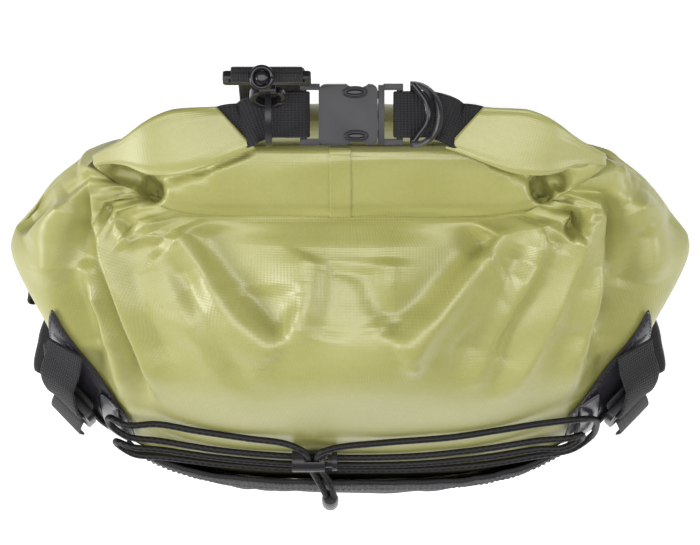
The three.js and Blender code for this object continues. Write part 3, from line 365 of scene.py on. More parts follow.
def sweep(line, across, outline):  # rings of a section along a line, and its faces and sizes
    along = unit(np.gradient(line, axis=0))
    across = np.broadcast_to(across, line.shape)
    across = unit(across - along * np.sum(across * along, -1, keepdims=True))
    out = np.cross(along, across)
    outline = np.broadcast_to(outline, (len(line),) + np.asarray(outline).shape[-2:])
    rings = (line[:, None, :] + across[:, None, :] * outline[:, :, :1] + out[:, None, :] * outline[:, :, 1:])
    count = rings.shape[1]
    points = rings.reshape(-1, 3)
    faces, corners = gridFaces(len(line), count, True)
    middle = outline[len(outline) // 2]
    around = lengthsAlong(np.vstack([middle, middle[:1]]))
    far = lengthsAlong(line)
    uvs = np.stack([around[corners[..., 1]], far[corners[..., 0]]], -1).reshape(-1, 2)
    return points, [list(f) for f in faces], list(uvs), rings


def capped(points, faces, uvs, rings):  # closes both ends of a sweep with a fan
    count = rings.shape[1]
    points = list(points)
    for ring, start, flip in ((rings[0], 0, True), (rings[-1], len(rings) * count - count, False)):
        middle = len(points)
        points.append(ring.mean(0))
        for i in range(count):
            a, b = start + i, start + (i + 1) % count
            faces.append([b, a, middle] if flip else [a, b, middle])
            uvs.extend([(0, 0), (1, 0), (0, 1)])
    return np.array(points), faces, uvs


def band(name, route, across, wide, thick, material, nodes, count=60, outline=None):
    route = np.asarray(route, float)
    if np.ndim(across) > 1:
        line = curveThrough(np.hstack([route, np.asarray(across) * 20]), count)
        line, across = line[:, :3], line[:, 3:]
    else:
        line = curveThrough(route, count)
    outline = flatOutline(wide, thick) if outline is None else outline
    points, faces, uvs, rings = sweep(line, across, outline)
    points, faces, uvs = capped(points, faces, uvs, rings)
    piece = newPiece(name, points, faces, material, nodes, uvs=uvs)
    return piece, line, rings


stitchLines = []


# Thread lying on a surface, for one mesh at the end
def stitches(line, normals, gap=3.4, long=2.5, wide=0.55):
    line, normals = np.asarray(line, float), np.asarray(normals, float)
    normals = np.broadcast_to(normals, line.shape)
    total = lengthsAlong(line)[-1]
    count = max(int(total / gap), 1)
    both = evenly(np.hstack([line, normals]), 2 * count + 1)
    for i in range(count):
        a, b = both[2 * i, :3], both[2 * i + 1, :3]
        stitchLines.append((a, b, unit(both[2 * i, 3:]), min(long, np.linalg.norm(b - a) * 1.4), wide))


# Two faces over one grid, joined at the rim
def thickSheet(name, inner, outer, material, nodes, body="bag"):
    rows, columns = inner.shape[:2]
    points = np.concatenate([outer.reshape(-1, 3), inner.reshape(-1, 3)])
    faces, corners = gridFaces(rows, columns, False)
    size = rows * columns
    rim = ([(0, c) for c in range(columns)] + [(r, columns - 1) for r in range(1, rows)]
           + [(rows - 1, c) for c in range(columns - 2, -1, -1)] + [(r, 0) for r in range(rows - 2, 0, -1)])
    at = [r * columns + c for r, c in rim]
    u = np.concatenate([np.zeros((rows, 1)),
                        np.cumsum(np.linalg.norm(np.diff(outer, axis=1), axis=-1), axis=1)], 1)
    v = np.concatenate([np.zeros((1, columns)),
                        np.cumsum(np.linalg.norm(np.diff(outer, axis=0), axis=-1), axis=0)])
    flat = np.stack([u, v], -1)
    front = flat[corners[..., 0], corners[..., 1]].reshape(-1, 2)
    back = front.reshape(-1, 4, 2)[:, ::-1].reshape(-1, 2)
    sides = [[at[i], at[i] + size, at[(i + 1) % len(at)] + size, at[(i + 1) % len(at)]]
             for i in range(len(at))]
    allFaces = [list(f) for f in faces] + [list(f[::-1] + size) for f in faces] + sides
    uvs = np.concatenate([front, back, np.tile([(0, 0), (0, 1), (1, 1), (1, 0)], (len(sides), 1))])
    piece = newPiece(name, points, allFaces, material, nodes, body, uvs)
    faceOutwards(piece)
    return piece


def faceOutwards(piece):
    work = bmesh.new()
    work.from_mesh(piece.data)
    bmesh.ops.recalc_face_normals(work, faces=work.faces)
    work.to_mesh(piece.data)
    work.free()


# The bag's form, as in the solid

bag = {
    "domeHeight": 472.0, "earReach": 195.0, "frontReach": 104.0, "backReach": 90.0,
    "around": 470, "rows": 200,
}
bagColumns = ("wide", "front", "back", "seam", "sideUp", "frontUp", "backUp", "square", "backSquare")
bagRings = np.array([
    (0.72, 0.74, 0.88, 0, 0, 0, 0, 3.4, 3.4),
    (0.775, 0.82, 0.96, 0, 0.025, 0.025, 0.025, 3.2, 3.2),
    (0.81, 0.88, 1.0, 0, 0.12, 0.12, 0.12, 2.9, 2.9),
    (0.84, 0.94, 1.0, 0, 0.32, 0.32, 0.32, 2.9, 2.9),
    (0.865, 0.99, 1.0, 0.02, 0.54, 0.54, 0.54, 3.0, 3.0),
    (0.88, 1.0, 1.0, 0.05, 0.66, 0.66, 0.66, 3.1, 3.1),
    (0.905, 0.885, 1.0, 0.09, 0.77, 0.775, 0.78, 3.1, 3.1),
    (0.955, 0.74, 1.0, 0.17, 0.85, 0.885, 0.88, 2.5, 2.5),
    (1.01, 0.61, 0.99, 0.22, 0.905, 0.95, 0.945, 1.65, 1.9),
    (0.94, 0.39, 0.97, 0.37, 0.945, 0.985, 0.985, 1.9, 2.3),
    (0.85, 0.12, 0.95, 0.5, 0.99, 1.0, 1.01, 1.95, 2.5),
    (0.765, -0.1, 0.83, 0.58, 1.025, 1.0, 1.03, 2.1, 2.1),
])


def blended(column, share):
    values = bagRings[:, bagColumns.index(column)]
    last = len(values) - 1
    place = share * last
    row = np.minimum(np.floor(place).astype(int), last - 1)
    t = place - row
    a, b, c, d = (values[np.clip(row + k, 0, last)] for k in (-1, 0, 1, 2))
    curve = b + 0.5 * t * (c - a + t * (2 * a - 5 * b + 4 * c - d + t * (3 * (b - c) + d - a)))
    return np.where(row == 0, b + (c - b) * t, curve)


def bagPoint(angle, share):
    angle, share = np.broadcast_arrays(np.asarray(angle, float), np.asarray(share, float))
    turn = np.radians(angle)
    isFront = np.cos(turn) >= 0
    power = 2 / np.where(isFront, blended("square", share), blended("backSquare", share))
    aside = np.abs(np.sin(turn)) ** power * np.sign(np.sin(turn))
    ahead = np.abs(np.cos(turn)) ** power
    seam = blended("seam", share) * bag["backReach"]
    reach = np.where(isFront, -blended("front", share) * bag["frontReach"],
                     blended("back", share) * bag["backReach"])
    sideUp = blended("sideUp", share)
    middleUp = np.where(isFront, blended("frontUp", share), blended("backUp", share))
    return np.stack([blended("wide", share) * bag["earReach"] * aside, seam + (reach - seam) * ahead,
                     (sideUp + (middleUp - sideUp) * ahead) * bag["domeHeight"]], -1)


def outwards(angle, share):
    share = np.asarray(share, float)
    aroundWay = bagPoint(angle + 2, share) - bagPoint(angle - 2, share)
    upWay = bagPoint(angle, np.minimum(share + 0.01, 1)) - bagPoint(angle, np.maximum(share - 0.01, 0))
    return unit(np.cross(aroundWay, upWay))


# Main folds as in the solid: from and to (angle, share), then depth and width in mm
mainFolds = [
    (-68, 0.93, -44, 0.6, -11, 13), (-62, 0.9, -36, 0.56, 7, 9), (-80, 0.93, -62, 0.76, 6, 15),
    (-50, 0.97, -28, 0.84, -8, 15), (-104, 0.95, -98, 0.74, -7, 14), (-20, 0.9, -14, 0.72, -3.5, 18),
    (64, 0.95, 46, 0.6, -10, 13), (60, 0.96, 38, 0.62, 8, 10), (78, 0.94, 64, 0.76, 6, 15),
    (52, 0.97, 30, 0.86, 9, 15), (40, 0.95, 22, 0.7, -6, 15), (104, 0.95, 98, 0.72, -7, 14),
    (150, 0.94, 128, 0.7, -8, 18), (-150, 0.94, -128, 0.7, -8, 18), (154, 0.955, 206, 0.955, 8, 20),
    (-152, 0.93, -138, 0.9, 9, 22), (152, 0.93, 138, 0.9, 6, 22),
]

# Sharper creases, by their places in the picture: depth (outwards positive) and width in mm
creases = [
    {"depth": 5, "width": 4,
     "line": [(109, 201), (110, 212), (115, 227), (123, 238), (131, 243), (148, 236), (174, 225)]},
    {"depth": -7, "width": 9, "line": [(118, 208), (124, 220), (132, 230)]},
    {"depth": -13, "width": 7, "line": [(112, 194), (120, 196)]},
    {"depth": 3.5, "width": 5, "line": [(89, 289), (97, 320), (107, 352)]},
    {"depth": -5, "width": 7, "line": [(77, 222), (76, 245), (80, 270)]},
    {"depth": 4.5, "width": 11, "line": [(142, 242), (171, 293), (200, 345), (228, 387)]},
    {"depth": -5, "width": 12, "line": [(174, 250), (194, 300), (222, 350), (244, 384)]},
    {"depth": -3.5, "width": 10, "line": [(128, 262), (148, 310), (172, 366)]},
    {"depth": 6, "width": 15, "line": [(314, 232), (306, 270), (296, 310), (286, 338)]},
    {"depth": -5.5, "width": 13, "line": [(330, 262), (328, 300), (320, 341)]},
    {"depth": -4, "width": 11, "line": [(370, 264), (368, 302), (376, 330)]},
    {"depth": 5, "width": 13, "line": [(390, 244), (388, 290), (390, 334)]},
    {"depth": 3.5, "width": 7, "line": [(480, 263), (448, 309), (415, 358), (409, 375)]},
    {"depth": -4, "width": 8, "line": [(488, 272), (466, 310), (440, 346), (426, 374)]},
    {"depth": -14, "width": 6, "line": [(563, 196), (570, 202)]},
    {"depth": 5, "width": 7,
     "line": [(540, 212), (541, 231), (534, 267), (512, 309), (490, 351), (480, 382)]},
    {"depth": -6, "width": 8, "line": [(556, 215), (552, 250), (532, 300), (510, 345), (494, 385)]},
    {"depth": -4.5, "width": 9, "line": [(520, 250), (504, 290), (478, 338), (462, 366)]},
    {"depth": 5, "width": 7, "line": [(588, 212), (578, 258), (560, 306), (538, 350), (508, 394)]},
    {"depth": -5, "width": 8, "line": [(598, 250), (588, 300), (568, 350)]},
    {"depth": -5, "width": 8, "line": [(640, 225), (636, 262), (628, 296)]},
    {"depth": 3, "width": 8, "line": [(612, 190), (640, 205), (676, 214)]},
    {"depth": -6, "width": 9, "line": [(560, 119), (572, 127), (584, 133)]},
]

# Edges of folds, by their places in the picture: the cloth on the right hand of the way along the
# line stands up by rise over wide, and on the left hand it falls away by drop over reach, in mm
foldEdges = [
    {"rise": 8, "wide": 13, "drop": 15, "reach": 11,
     "line": [(110, 199), (117, 199), (124, 193), (130, 191), (137, 194), (145, 200), (158, 210),
              (176, 224)]},
    {"rise": 3, "wide": 16, "drop": 6, "reach": 6,
     "line": [(177, 224), (180, 220), (180, 210), (184, 203), (193, 201), (247, 206), (350, 211), (466, 211),
              (505, 215)]},
    {"rise": 8, "wide": 13, "drop": 11, "reach": 12,
     "line": [(474, 262), (490, 244), (501, 228), (514, 214), (528, 201), (538, 197), (549, 195),
              (567, 203)]},
    {"rise": 3, "wide": 5, "drop": 10, "reach": 5,
     "line": [(578, 184), (567, 186), (564, 189), (569, 194), (573, 198), (574, 208), (571, 219), (565, 230),
              (570, 240)]},
    {"rise": 7, "wide": 20, "drop": 13, "reach": 26, "soft": 2.6,
     "line": [(178, 222), (188, 231), (201, 253), (220, 283), (246, 315), (270, 336), (288, 344)]},
    {"rise": 7, "wide": 19, "drop": 12, "reach": 24, "soft": 2.6,
     "line": [(386, 342), (404, 331), (431, 309), (464, 267), (480, 252), (492, 246)]},
    {"rise": 4, "wide": 6, "drop": 2, "reach": 5, "line": [(571, 239), (578, 233), (586, 219), (592, 204)]},
    {"rise": 5, "wide": 9, "drop": 9, "reach": 6,
     "line": [(592, 183), (601, 198), (608, 215), (609, 239), (606, 275), (598, 316), (584, 360)]},
    {"rise": 6, "wide": 10, "drop": 10, "reach": 8,
     "line": [(155, 402), (140, 368), (128, 338), (112, 298), (97, 259), (89, 231), (88, 208), (92, 165)]},
    {"rise": 3, "wide": 10, "drop": 5, "reach": 9,
     "line": [(20, 236), (40, 220), (56, 206), (72, 192), (91, 176)]},
    {"rise": 3, "wide": 9, "drop": 5, "reach": 8,
     "line": [(502, 103), (530, 113), (553, 125), (585, 141), (609, 154), (633, 166), (660, 182),
              (684, 212)]},
    {"rise": 3, "wide": 6, "drop": 12, "reach": 9, "line": [(96, 160), (112, 174), (128, 188), (137, 194)]},
]


def foldSegments():
    segments = []
    for a0, s0, a1, s1, depth, width in mainFolds:
        t = np.linspace(0, 1, 6)
        segments.append((bagPoint(a0 + (a1 - a0) * t, s0 + (s1 - s0) * t), depth, width, False))
    angles, shares = np.meshgrid(np.arange(-115, 116, 1.5), np.linspace(0.5, 0.97, 110))
    form = bagPoint(angles, shares)
    seen = outwards(angles, shares) @ towardsCamera > 0.08
    pixels = inPicture(form)[seen]
    form = form[seen]
    for crease in creases:
        at = [form[np.argmin(np.sum((pixels - p) ** 2, -1))] for p in np.array(crease["line"], float)]
        segments.append((np.array(at), crease["depth"], crease["width"], True))
    return segments


allFolds = foldSegments()


# Deep hollows beside the roll's bends and under its ends, by their places in the picture: width in
# pixels, depth in mm
hollows = [
    {"from": (114, 170), "to": (134, 175), "wide": 11, "depth": 28},
    {"from": (146, 184), "to": (152, 190), "wide": 11, "depth": 38},
    {"from": (116, 194), "to": (118, 195), "wide": 6, "depth": 12},
    {"from": (156, 178), "to": (206, 167), "wide": 6, "depth": 11},
    {"from": (206, 167), "to": (246, 151), "wide": 5, "depth": 8},
    {"from": (541, 182), "to": (543, 190), "wide": 11, "depth": 36},
    {"from": (554, 178), "to": (560, 180), "wide": 10, "depth": 24},
    {"from": (566, 199), "to": (568, 200), "wide": 5, "depth": 13},
    {"from": (494, 161), "to": (534, 176), "wide": 6, "depth": 11},
    {"from": (450, 140), "to": (494, 161), "wide": 5, "depth": 8},
]


def sunken(points):  # points moved down into the hollows
    pixels = inPicture(points)
    down = 0
    for hollow in hollows:
        start = np.array(hollow["from"], float)
        step = np.array(hollow["to"], float) - start
        t = np.clip((pixels - start) @ step / (step @ step), 0, 1)
        away = np.linalg.norm(pixels - start - t[..., None] * step, axis=-1) / hollow["wide"]
        down = np.maximum(down, hollow["depth"] * np.exp(-away ** 4))
    return points - down[..., None] * towardsCamera


def edgePush(points, facing):  # how far the folds' edges move the cloth that faces the camera
    pixels = inPicture(points.reshape(-1, 3))
    seen = np.clip(facing.reshape(-1) * 5, 0, 1) * (points.reshape(-1, 3)[:, 2] > 0.6 * bag["domeHeight"])
    push = np.zeros(len(pixels))
    scale = camera["distance"] * pixelScale  # mm to a pixel
    for edge in foldEdges:
        line = np.array(edge["line"], float)
        near = np.full(len(pixels), np.inf)
        hand = np.zeros(len(pixels))
        along = np.zeros(len(pixels))
        for i in range(len(line) - 1):
            step = line[i + 1] - line[i]
            away = pixels - line[i]
            t = np.clip(away @ step / (step @ step), 0, 1)
            gap = np.linalg.norm(away - t[:, None] * step, axis=1)
            closer = gap < near
            hand = np.where(closer, np.sign(step[0] * away[:, 1] - step[1] * away[:, 0]), hand)
            along = np.where(closer, (i + t) / (len(line) - 1), along)
            near = np.minimum(near, gap)
        side = near * hand * scale
        fade = np.clip(8 * along, 0, 1) * np.clip(8 * (1 - along), 0, 1) * seen
        raised = edge["rise"] * np.exp(-(np.maximum(side, 0) / edge["wide"]) ** 2)
        fallen = -edge["drop"] * np.exp(-(np.minimum(side, 0) / edge["reach"]) ** 2)
        share = 1 / (1 + np.exp(-np.clip(side / edge.get("soft", 0.8), -30, 30)))
        push += fade * (fallen + (raised - fallen) * share)
    return push.reshape(points.shape[:-1])


def foldPush(points):  # how far the folds move points of the plain form outwards
    flat = points.reshape(-1, 3)
    push = np.zeros(len(flat))
    for line, depth, width, isSharp in allFolds:
        near = np.full(len(flat), np.inf)
        along = np.zeros(len(flat))
        for i in range(len(line) - 1):
            step = line[i + 1] - line[i]
            t = np.clip((flat - line[i]) @ step / max(step @ step, 1e-6), 0, 1)
            gap = np.linalg.norm(flat - line[i] - t[:, None] * step, axis=1)
            closer = gap < near
            along = np.where(closer, (i + t) / (len(line) - 1), along)
            near = np.minimum(near, gap)
        if isSharp:
            fade = np.minimum(1, 4 * (along + 0.1)) * np.minimum(1, 4 * (1.1 - along))
            push += depth * fade * np.exp(-(np.sqrt((near / width) ** 2 + 0.1) - 0.316) * 1.3)
        else:
            fade = np.minimum(1, 6 * (along + 0.05)) * np.minimum(1, 3 * (1.1 - along))
            push += depth * fade * np.exp(-(near / width) ** 2)
    return push.reshape(points.shape[:-1])


def rumple(points):  # small uneven waves of a stuffed bag, in mm
    flat = points.reshape(-1, 3)
    waves = np.array([1.0 * noise.noise(Vector(p / 70)) + 0.3 * noise.noise(Vector(p / 30 + 9))
                      for p in flat])
    return waves.reshape(points.shape[:-1])


def foldedPoint(angle, share):
    point = bagPoint(angle, share)
    fade = np.clip(point[..., 2] / 60, 0, 1)
    out = outwards(angle, share)
    push = foldPush(point) + edgePush(point, out @ towardsCamera) + rumple(point) * fade
    return point + out * push[..., None]


def onBag(angle, z, offset):  # the outside of the bag at an angle and a height, moved outwards
    angle, z = np.broadcast_arrays(np.asarray(angle, float), np.asarray(z, float))
    low, high = np.zeros(angle.shape), np.full(angle.shape, 0.86)
    for _ in range(24):
        middle = (low + high) / 2
        under = bagPoint(angle, middle)[..., 2] < z
        low, high = np.where(under, middle, low), np.where(under, high, middle)
    return foldedPoint(angle, low) + outwards(angle, low) * np.asarray(offset)[..., None]


def onFront(x, z, offset):  # the same on the front, at a distance from the middle
    x, z = np.broadcast_arrays(np.asarray(x, float), np.asarray(z, float))
    near, far = np.zeros(x.shape), np.full(x.shape, 80.0)
    for _ in range(16):
        angle = (near + far) / 2
        low, high = np.zeros(x.shape), np.full(x.shape, 0.86)
        for _ in range(20):
            middle = (low + high) / 2
            under = bagPoint(angle, middle)[..., 2] < z
            low, high = np.where(under, middle, low), np.where(under, high, middle)
        short = bagPoint(angle, low)[..., 0] < np.abs(x)
        near, far = np.where(short, angle, near), np.where(short, far, angle)
    return onBag(near * np.sign(x), z, offset)


# The rolled mouth, bent into a C with thin, slanted ends
collar = {
    "wide": 44.0, "thick": 12.0, "reach": 138.0, "end": 62.0, "y": 46.6, "z": 482.4, "neckGap": 6.0,
    "shear": 0.55, "flat": 0.5, "seamAt": -5.4, "seamWide": 12.0,
}
# Its middle line, from the left end round the bend to the middle: reach, back, up, tilt, wide
collarHalf = np.array([
    (62 / 138, 0.49, 1.06, 15, 0.68), (0.69, 0.31, 1.02, 17, 0.8), (0.8, 0.24, 0.93, 20, 0.66),
    (0.9, 0.23, 0.76, 25, 0.34), (0.97, 0.22, 0.58, 30, 0.2), (1.01, 0.2, 0.4, 34, 0.16),
    (0.97, 0.13, 0.24, 37, 0.2), (0.87, 0.05, 0.12, 40, 0.42), (0.7, 0, 0.04, 41, 0.84),
    (0.5, 0, 0.01, 41, 1), (0.2, 0, 0, 41, 1), (0, 0, 0, 41, 1),
])
collarBend = 5  # the row at the bend


def collarRoute():
    reach, back, up, tilt, wide = collarHalf.T
    line = np.stack([-reach * collar["reach"], collar["y"] + back * collar["wide"],
                     collar["z"] + up * collar["wide"]], -1)
    across = np.stack([0 * tilt, np.cos(np.radians(tilt)), np.sin(np.radians(tilt))], -1)
    mirror = np.array([-1, 1, 1])
    return (np.vstack([line, line[-2::-1] * mirror]), np.vstack([across, across[-2::-1]]),
            np.concatenate([wide, wide[-2::-1]]))


def neckRing(angles):
    line = collarHalf[collarBend:][::-1]
    reachAll = 0.93 * collar["reach"]
    turn = np.radians(angles)
    x = np.sin(turn) * reachAll
    reach = np.abs(x) / collar["reach"]
    back, up, tilt, wide = (np.interp(reach, line[:, 0], line[:, k]) for k in (1, 2, 3, 4))
    tilt = np.radians(tilt)
    drop = wide * collar["wide"] / 2 + 0.6
    gap = collar["neckGap"] + 4
    across = -np.cos(turn) * gap / 2 * np.minimum(1, 4 * (1.02 - np.abs(x) / reachAll))
    return np.stack([
        x,
        collar["y"] + back * collar["wide"] - drop * np.cos(tilt) + across * np.sin(tilt + 0.6),
        collar["z"] + up * collar["wide"] - drop * np.sin(tilt) - across * np.cos(tilt + 0.6),
    ], -1)


def closer(places, weight, count):  # count places with steps that shorten where the weight is greater
    total = np.concatenate([[0], np.cumsum(weight((places[1:] + places[:-1]) / 2))])
    return np.interp(np.arange(count) / count * total[-1], total, places)


def makeBag():
    angles = closer(np.linspace(-180, 180, 721), lambda a: 1 + 1.6 * (np.abs(np.abs(a) - 72) < 42),
                    bag["around"])
    shares = closer(np.linspace(0, 1, 201), lambda t: 1 + 2.2 * (t > 0.62), bag["rows"])
    shares = np.append(shares, 1.0)
    grid = foldedPoint(angles[None, :], shares[:, None])
    grid[0, :, 2] = 0
    neck = neckRing(angles)
    steps = [grid[-1] + (neck - grid[-1]) * t for t in (0.35, 0.7, 1.0)]
    rings = np.concatenate([grid, np.array(steps)])
    rings = np.where((rings[..., 2] > 0.8 * bag["domeHeight"])[..., None], sunken(rings), rings)
    faces, corners = gridFaces(len(rings), bag["around"], True)
    girth = 2.6 * bag["earReach"] + 2.6 * bag["backReach"]
    u = (np.append(angles, 180) + 180) / 360 * girth * 1.1
    v = np.concatenate([[0], np.cumsum(np.linalg.norm(np.diff(rings, axis=0), axis=-1).mean(1))])
    uvs = np.stack([u[corners[..., 1]], v[corners[..., 0]]], -1).reshape(-1, 2)
    faces = [list(f) for f in faces] + [list(range(bag["around"]))[::-1]]
    uvs = list(uvs) + [(p[0], p[1]) for p in rings[0][::-1]]
    last = (len(rings) - 1) * bag["around"]
    faces.append([last + i for i in range(bag["around"])])
    uvs += [(p[0], p[1]) for p in rings[-1]]
    return newPiece("bag_shell", rings.reshape(-1, 3), faces, tarpaulin, ["bag_body"], uvs=uvs)


bagShell = makeBag()
print("bag made:", len(bagShell.data.polygons), "faces")


def makeRoll():
    line, across, wide = collarRoute()
    both = curveThrough(np.hstack([line, across * 30, wide[:, None] * 30]), 260)
    line, across, wide = both[:, :3], both[:, 3:6], both[:, 6] / 30
    turn = np.linspace(0, 2 * math.pi, 64, endpoint=False)
    c, s = np.cos(turn), np.sin(turn)
    round_ = np.stack([np.sign(c) * np.abs(c) ** 0.5, np.sign(s) * np.abs(s) ** 0.7], -1)
    far = lengthsAlong(line)
    ends = np.minimum(far, far[-1] - far)
    wide = wide * (1 - 0.09 * np.clip(1 - ends / 30, 0, 1))
    full = np.interp(ends, [0, 80, 150], [collar["flat"], collar["flat"], 1])
    outlines = []
    for at, share, fullness in zip(far, wide, full):
        thick = collar["thick"] * fullness * (0.6 + 0.4 * min(1, share / 0.7))
        section = round_ * np.array([share * collar["wide"] / 2, thick / 2])
        waves = 1 + 0.04 * noise.noise(Vector((at / 40, 0, 3)))
        swell = np.array([0.9 * noise.noise(Vector((at / 34, 2.2 * math.cos(t), 2.2 * math.sin(t))))
                          for t in turn])
        lap = 1.3 / (1 + np.exp(-(section[:, 0] + section[:, 0].max() * 0.55) * 2.2)) * (s > 0)
        outlines.append(section * waves + np.stack([0 * turn, (swell + lap) * np.sign(s)], -1))
    outlines = np.array(outlines)
    points, faces, uvs, rings = sweep(line, across, outlines)
    slant = np.clip(1 - ends / 40, 0, 1) ** 1.5  # the two ends are cut on the slant
    along = unit(np.gradient(line, axis=0)) * np.where(np.arange(len(line)) < len(line) / 2, 1, -1)[:, None]
    rings = rings + along[:, None, :] * (outlines[:, :, :1] * collar["shear"] * slant[:, None, None])
    isLow = (ends > lengthsAlong(curveThrough(collarRoute()[0], 260))[-1] * 0.2)[:, None, None]
    rings = np.where(isLow, sunken(rings), rings)
    points, faces, uvs = capped(rings.reshape(-1, 3), faces, uvs, rings)
    newPiece("roll_top", points, faces, tarpaulin, ["rolled_collar"], uvs=uvs)
    return line, rings


rollLine, rollRings = makeRoll()


def makeSeamStrip():  # the strip welded over the join at the middle of the roll
    middles = rollRings.mean(1)
    lengths = lengthsAlong(rollLine)
    inMiddle = np.abs(lengths - lengths[-1] / 2) < 60
    rows = np.where(inMiddle & (np.abs(middles[:, 0] - collar["seamAt"]) < collar["seamWide"] / 2 + 3))[0]
    edge = collar["seamAt"] + collar["seamWide"] * np.linspace(-0.5, 0.5, 14)
    x = middles[rows, 0]
    grid = np.stack([np.stack([np.interp(edge, x, rollRings[rows, j, k]) for k in range(3)], -1)
                     for j in range(0, 33)], 1)
    centre = np.stack([np.interp(edge, x, middles[rows, k]) for k in range(3)], -1)[:, None, :]
    out = unit(grid - centre)
    thickSheet("seam_strip", grid - out * 0.4, grid + out * 0.7, tarpaulin, [])


makeSeamStrip()
print("roll made")


# Webbing and hardware at the roll, in a frame with X along the webbing, Y across it and Z out

fastening = {"y": 75.0, "z": 531.0, "tilt": 15.0, "bar": 3.5, "slot": 6.6, "wall": 3.4, "body": 32.0}
webbingSize = {"wide": 25.0, "thick": 1.6, "haul": 38.0}
ringBar = 3.4
fit = 0.3


def atBuckle(points):
    tilt = math.radians(fastening["tilt"])
    p = np.asarray(points, float)
    return np.stack([p[..., 0], fastening["y"] + p[..., 1] * math.cos(tilt) - p[..., 2] * math.sin(tilt),
                     fastening["z"] + p[..., 1] * math.sin(tilt) + p[..., 2] * math.cos(tilt)], -1)


def halfTurn(barX, side, radius):
    return [(barX + side * radius * math.cos(math.radians(a)), 0, radius * math.sin(math.radians(a)))
            for a in (90, 60, 30, 0, -30, -60, -90)]


def makeCollarWebbing(side, word):
    wrap = fastening["bar"] / 2 + fit + webbingSize["thick"] / 2
    room = ringBar * 0.71 + fit + webbingSize["thick"] / 2
    edge = -fastening["body"] / 2 - 1 if side < 0 else fastening["body"] / 2 - 1 + fit + fastening["wall"]
    barX = edge + side * (fastening["slot"] + fastening["bar"] / 2)
    end = collarRoute()[0][0]
    tilt = math.radians(fastening["tilt"])
    dy, dz = end[1] - fastening["y"], end[2] - fastening["z"]
    away = (dy * math.cos(tilt) + dz * math.sin(tilt), dz * math.cos(tilt) - dy * math.sin(tilt))
    reach = collar["end"]
    points = [
        (side * (reach + 18), away[0] - 5, away[1] - 0.4), (side * (reach + 5), away[0], away[1] + 0.9),
        (side * (reach - 3.4), away[0] * 0.85, away[1] + 1.2),
        (side * (reach - 9), away[0] * 0.4, room), (side * (reach - 18), away[0] * 0.02, room),
        (side * (reach - 30), 0, room),
        *halfTurn(barX, -side, wrap),
        (side * (reach - 30), 0, -room), (side * (reach - 18), away[0] * 0.02, -room),
        (side * (reach - 9), away[0] * 0.4, -room), (side * (reach - 3.4), away[0] * 0.85, away[1] - 1.2),
        (side * (reach + 5), away[0], away[1] - 0.9), (side * (reach + 18), away[0] - 5, away[1] - 1.6),
    ]
    across = np.array([0, math.cos(tilt), math.sin(tilt)])
    band(f"collar_strap_{word}", atBuckle(points), across, webbingSize["wide"], webbingSize["thick"],
         webbing, [f"collar_webbing_{word}"], 90)


for side, word in ((-1, "left"), (1, "right")):
    makeCollarWebbing(side, word)
print("collar webbing made")


# Hard pieces: the solid's own form with its edges rounded as a mould leaves them

def roundedCopy(node, material, edge, body="bag", segments=2):
    source = frame["nodes"][node] if isinstance(frame["nodes"], dict) else bpy.data.objects[node]
    mesh = source.data.copy()
    mesh.name = node + "_moulded"
    work = bmesh.new()
    work.from_mesh(mesh)
    bmesh.ops.remove_doubles(work, verts=work.verts, dist=1e-5)
    bmesh.ops.dissolve_limit(work, angle_limit=math.radians(2), verts=work.verts, edges=work.edges)
    sharp = [e for e in work.edges if len(e.link_faces) == 2 and e.calc_face_angle(0) > math.radians(32)]
    bmesh.ops.bevel(work, geom=sharp, offset=edge * metre, segments=segments, profile=0.6, affect="EDGES",
                    clamp_overlap=True)
    bmesh.ops.triangulate(work, faces=[f for f in work.faces if len(f.verts) > 4])
    for face in work.faces:
        face.smooth = True
    for e in work.edges:
        if len(e.link_faces) == 2 and e.calc_face_angle(0) > math.radians(35):
            e.smooth = False
    work.to_mesh(mesh)
    work.free()
    mesh.materials.clear()
    mesh.materials.append(material)
    piece = bpy.data.objects.new(node + "_moulded", mesh)
    bpy.context.scene.collection.objects.link(piece)
    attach(piece, body)
    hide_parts(node)
    return piece


for node, edge in (("buckle_socket", 0.9), ("buckle_plug", 0.5), ("d_ring_left", 0.9), ("d_ring_right", 0.9)):
    roundedCopy(node, satinPlastic, edge)
for node, edge in (("hook_body", 0.9), ("hook_swivel", 0.7)):
    roundedCopy(node, glossPlastic, edge)
roundedCopy("hook_gate", glossPlastic, 0.6, "gate")
for node, edge in (("ladder_lock_left", 0.7), ("ladder_lock_right", 0.7), ("strap_adjuster_left", 0.7),
                   ("strap_adjuster_right", 0.7), ("cord_lock_barrel", 0.8), ("cord_end", 0.4)):
    roundedCopy(node, satinPlastic, edge)
roundedCopy("cord_lock_plunger", satinPlastic, 0.5, "plunger")
print("hard pieces made")


# Small details of the buckle, the ring and the hook, in the frame of the fastening

detail = {
    "buttons": [(2.7, 12.4), (3.3, -11.3)], "buttonLong": 6.2, "buttonWide": 2.7,
    "bridge": [(33.5, 17.5), (37, 13), (40.5, 8), (42, 2), (41, -4), (37.5, -9), (34, -14)], "bridgeBar": 3.6,
    "swivel": (-46.5, 0.0), "swivelRadius": 5.4, "swivelBar": 2.7,
}


def topOf(node):  # how high a node reaches out of the fastening's plane
    tilt = math.radians(fastening["tilt"])
    out = np.array([0, -math.sin(tilt), math.cos(tilt)])
    origin = np.array([0, fastening["y"], fastening["z"]])
    corners = np.array([v.co for v in bpy.data.objects[node + "_moulded"].data.vertices]) / metre - centring
    return ((corners - origin) @ out).max()


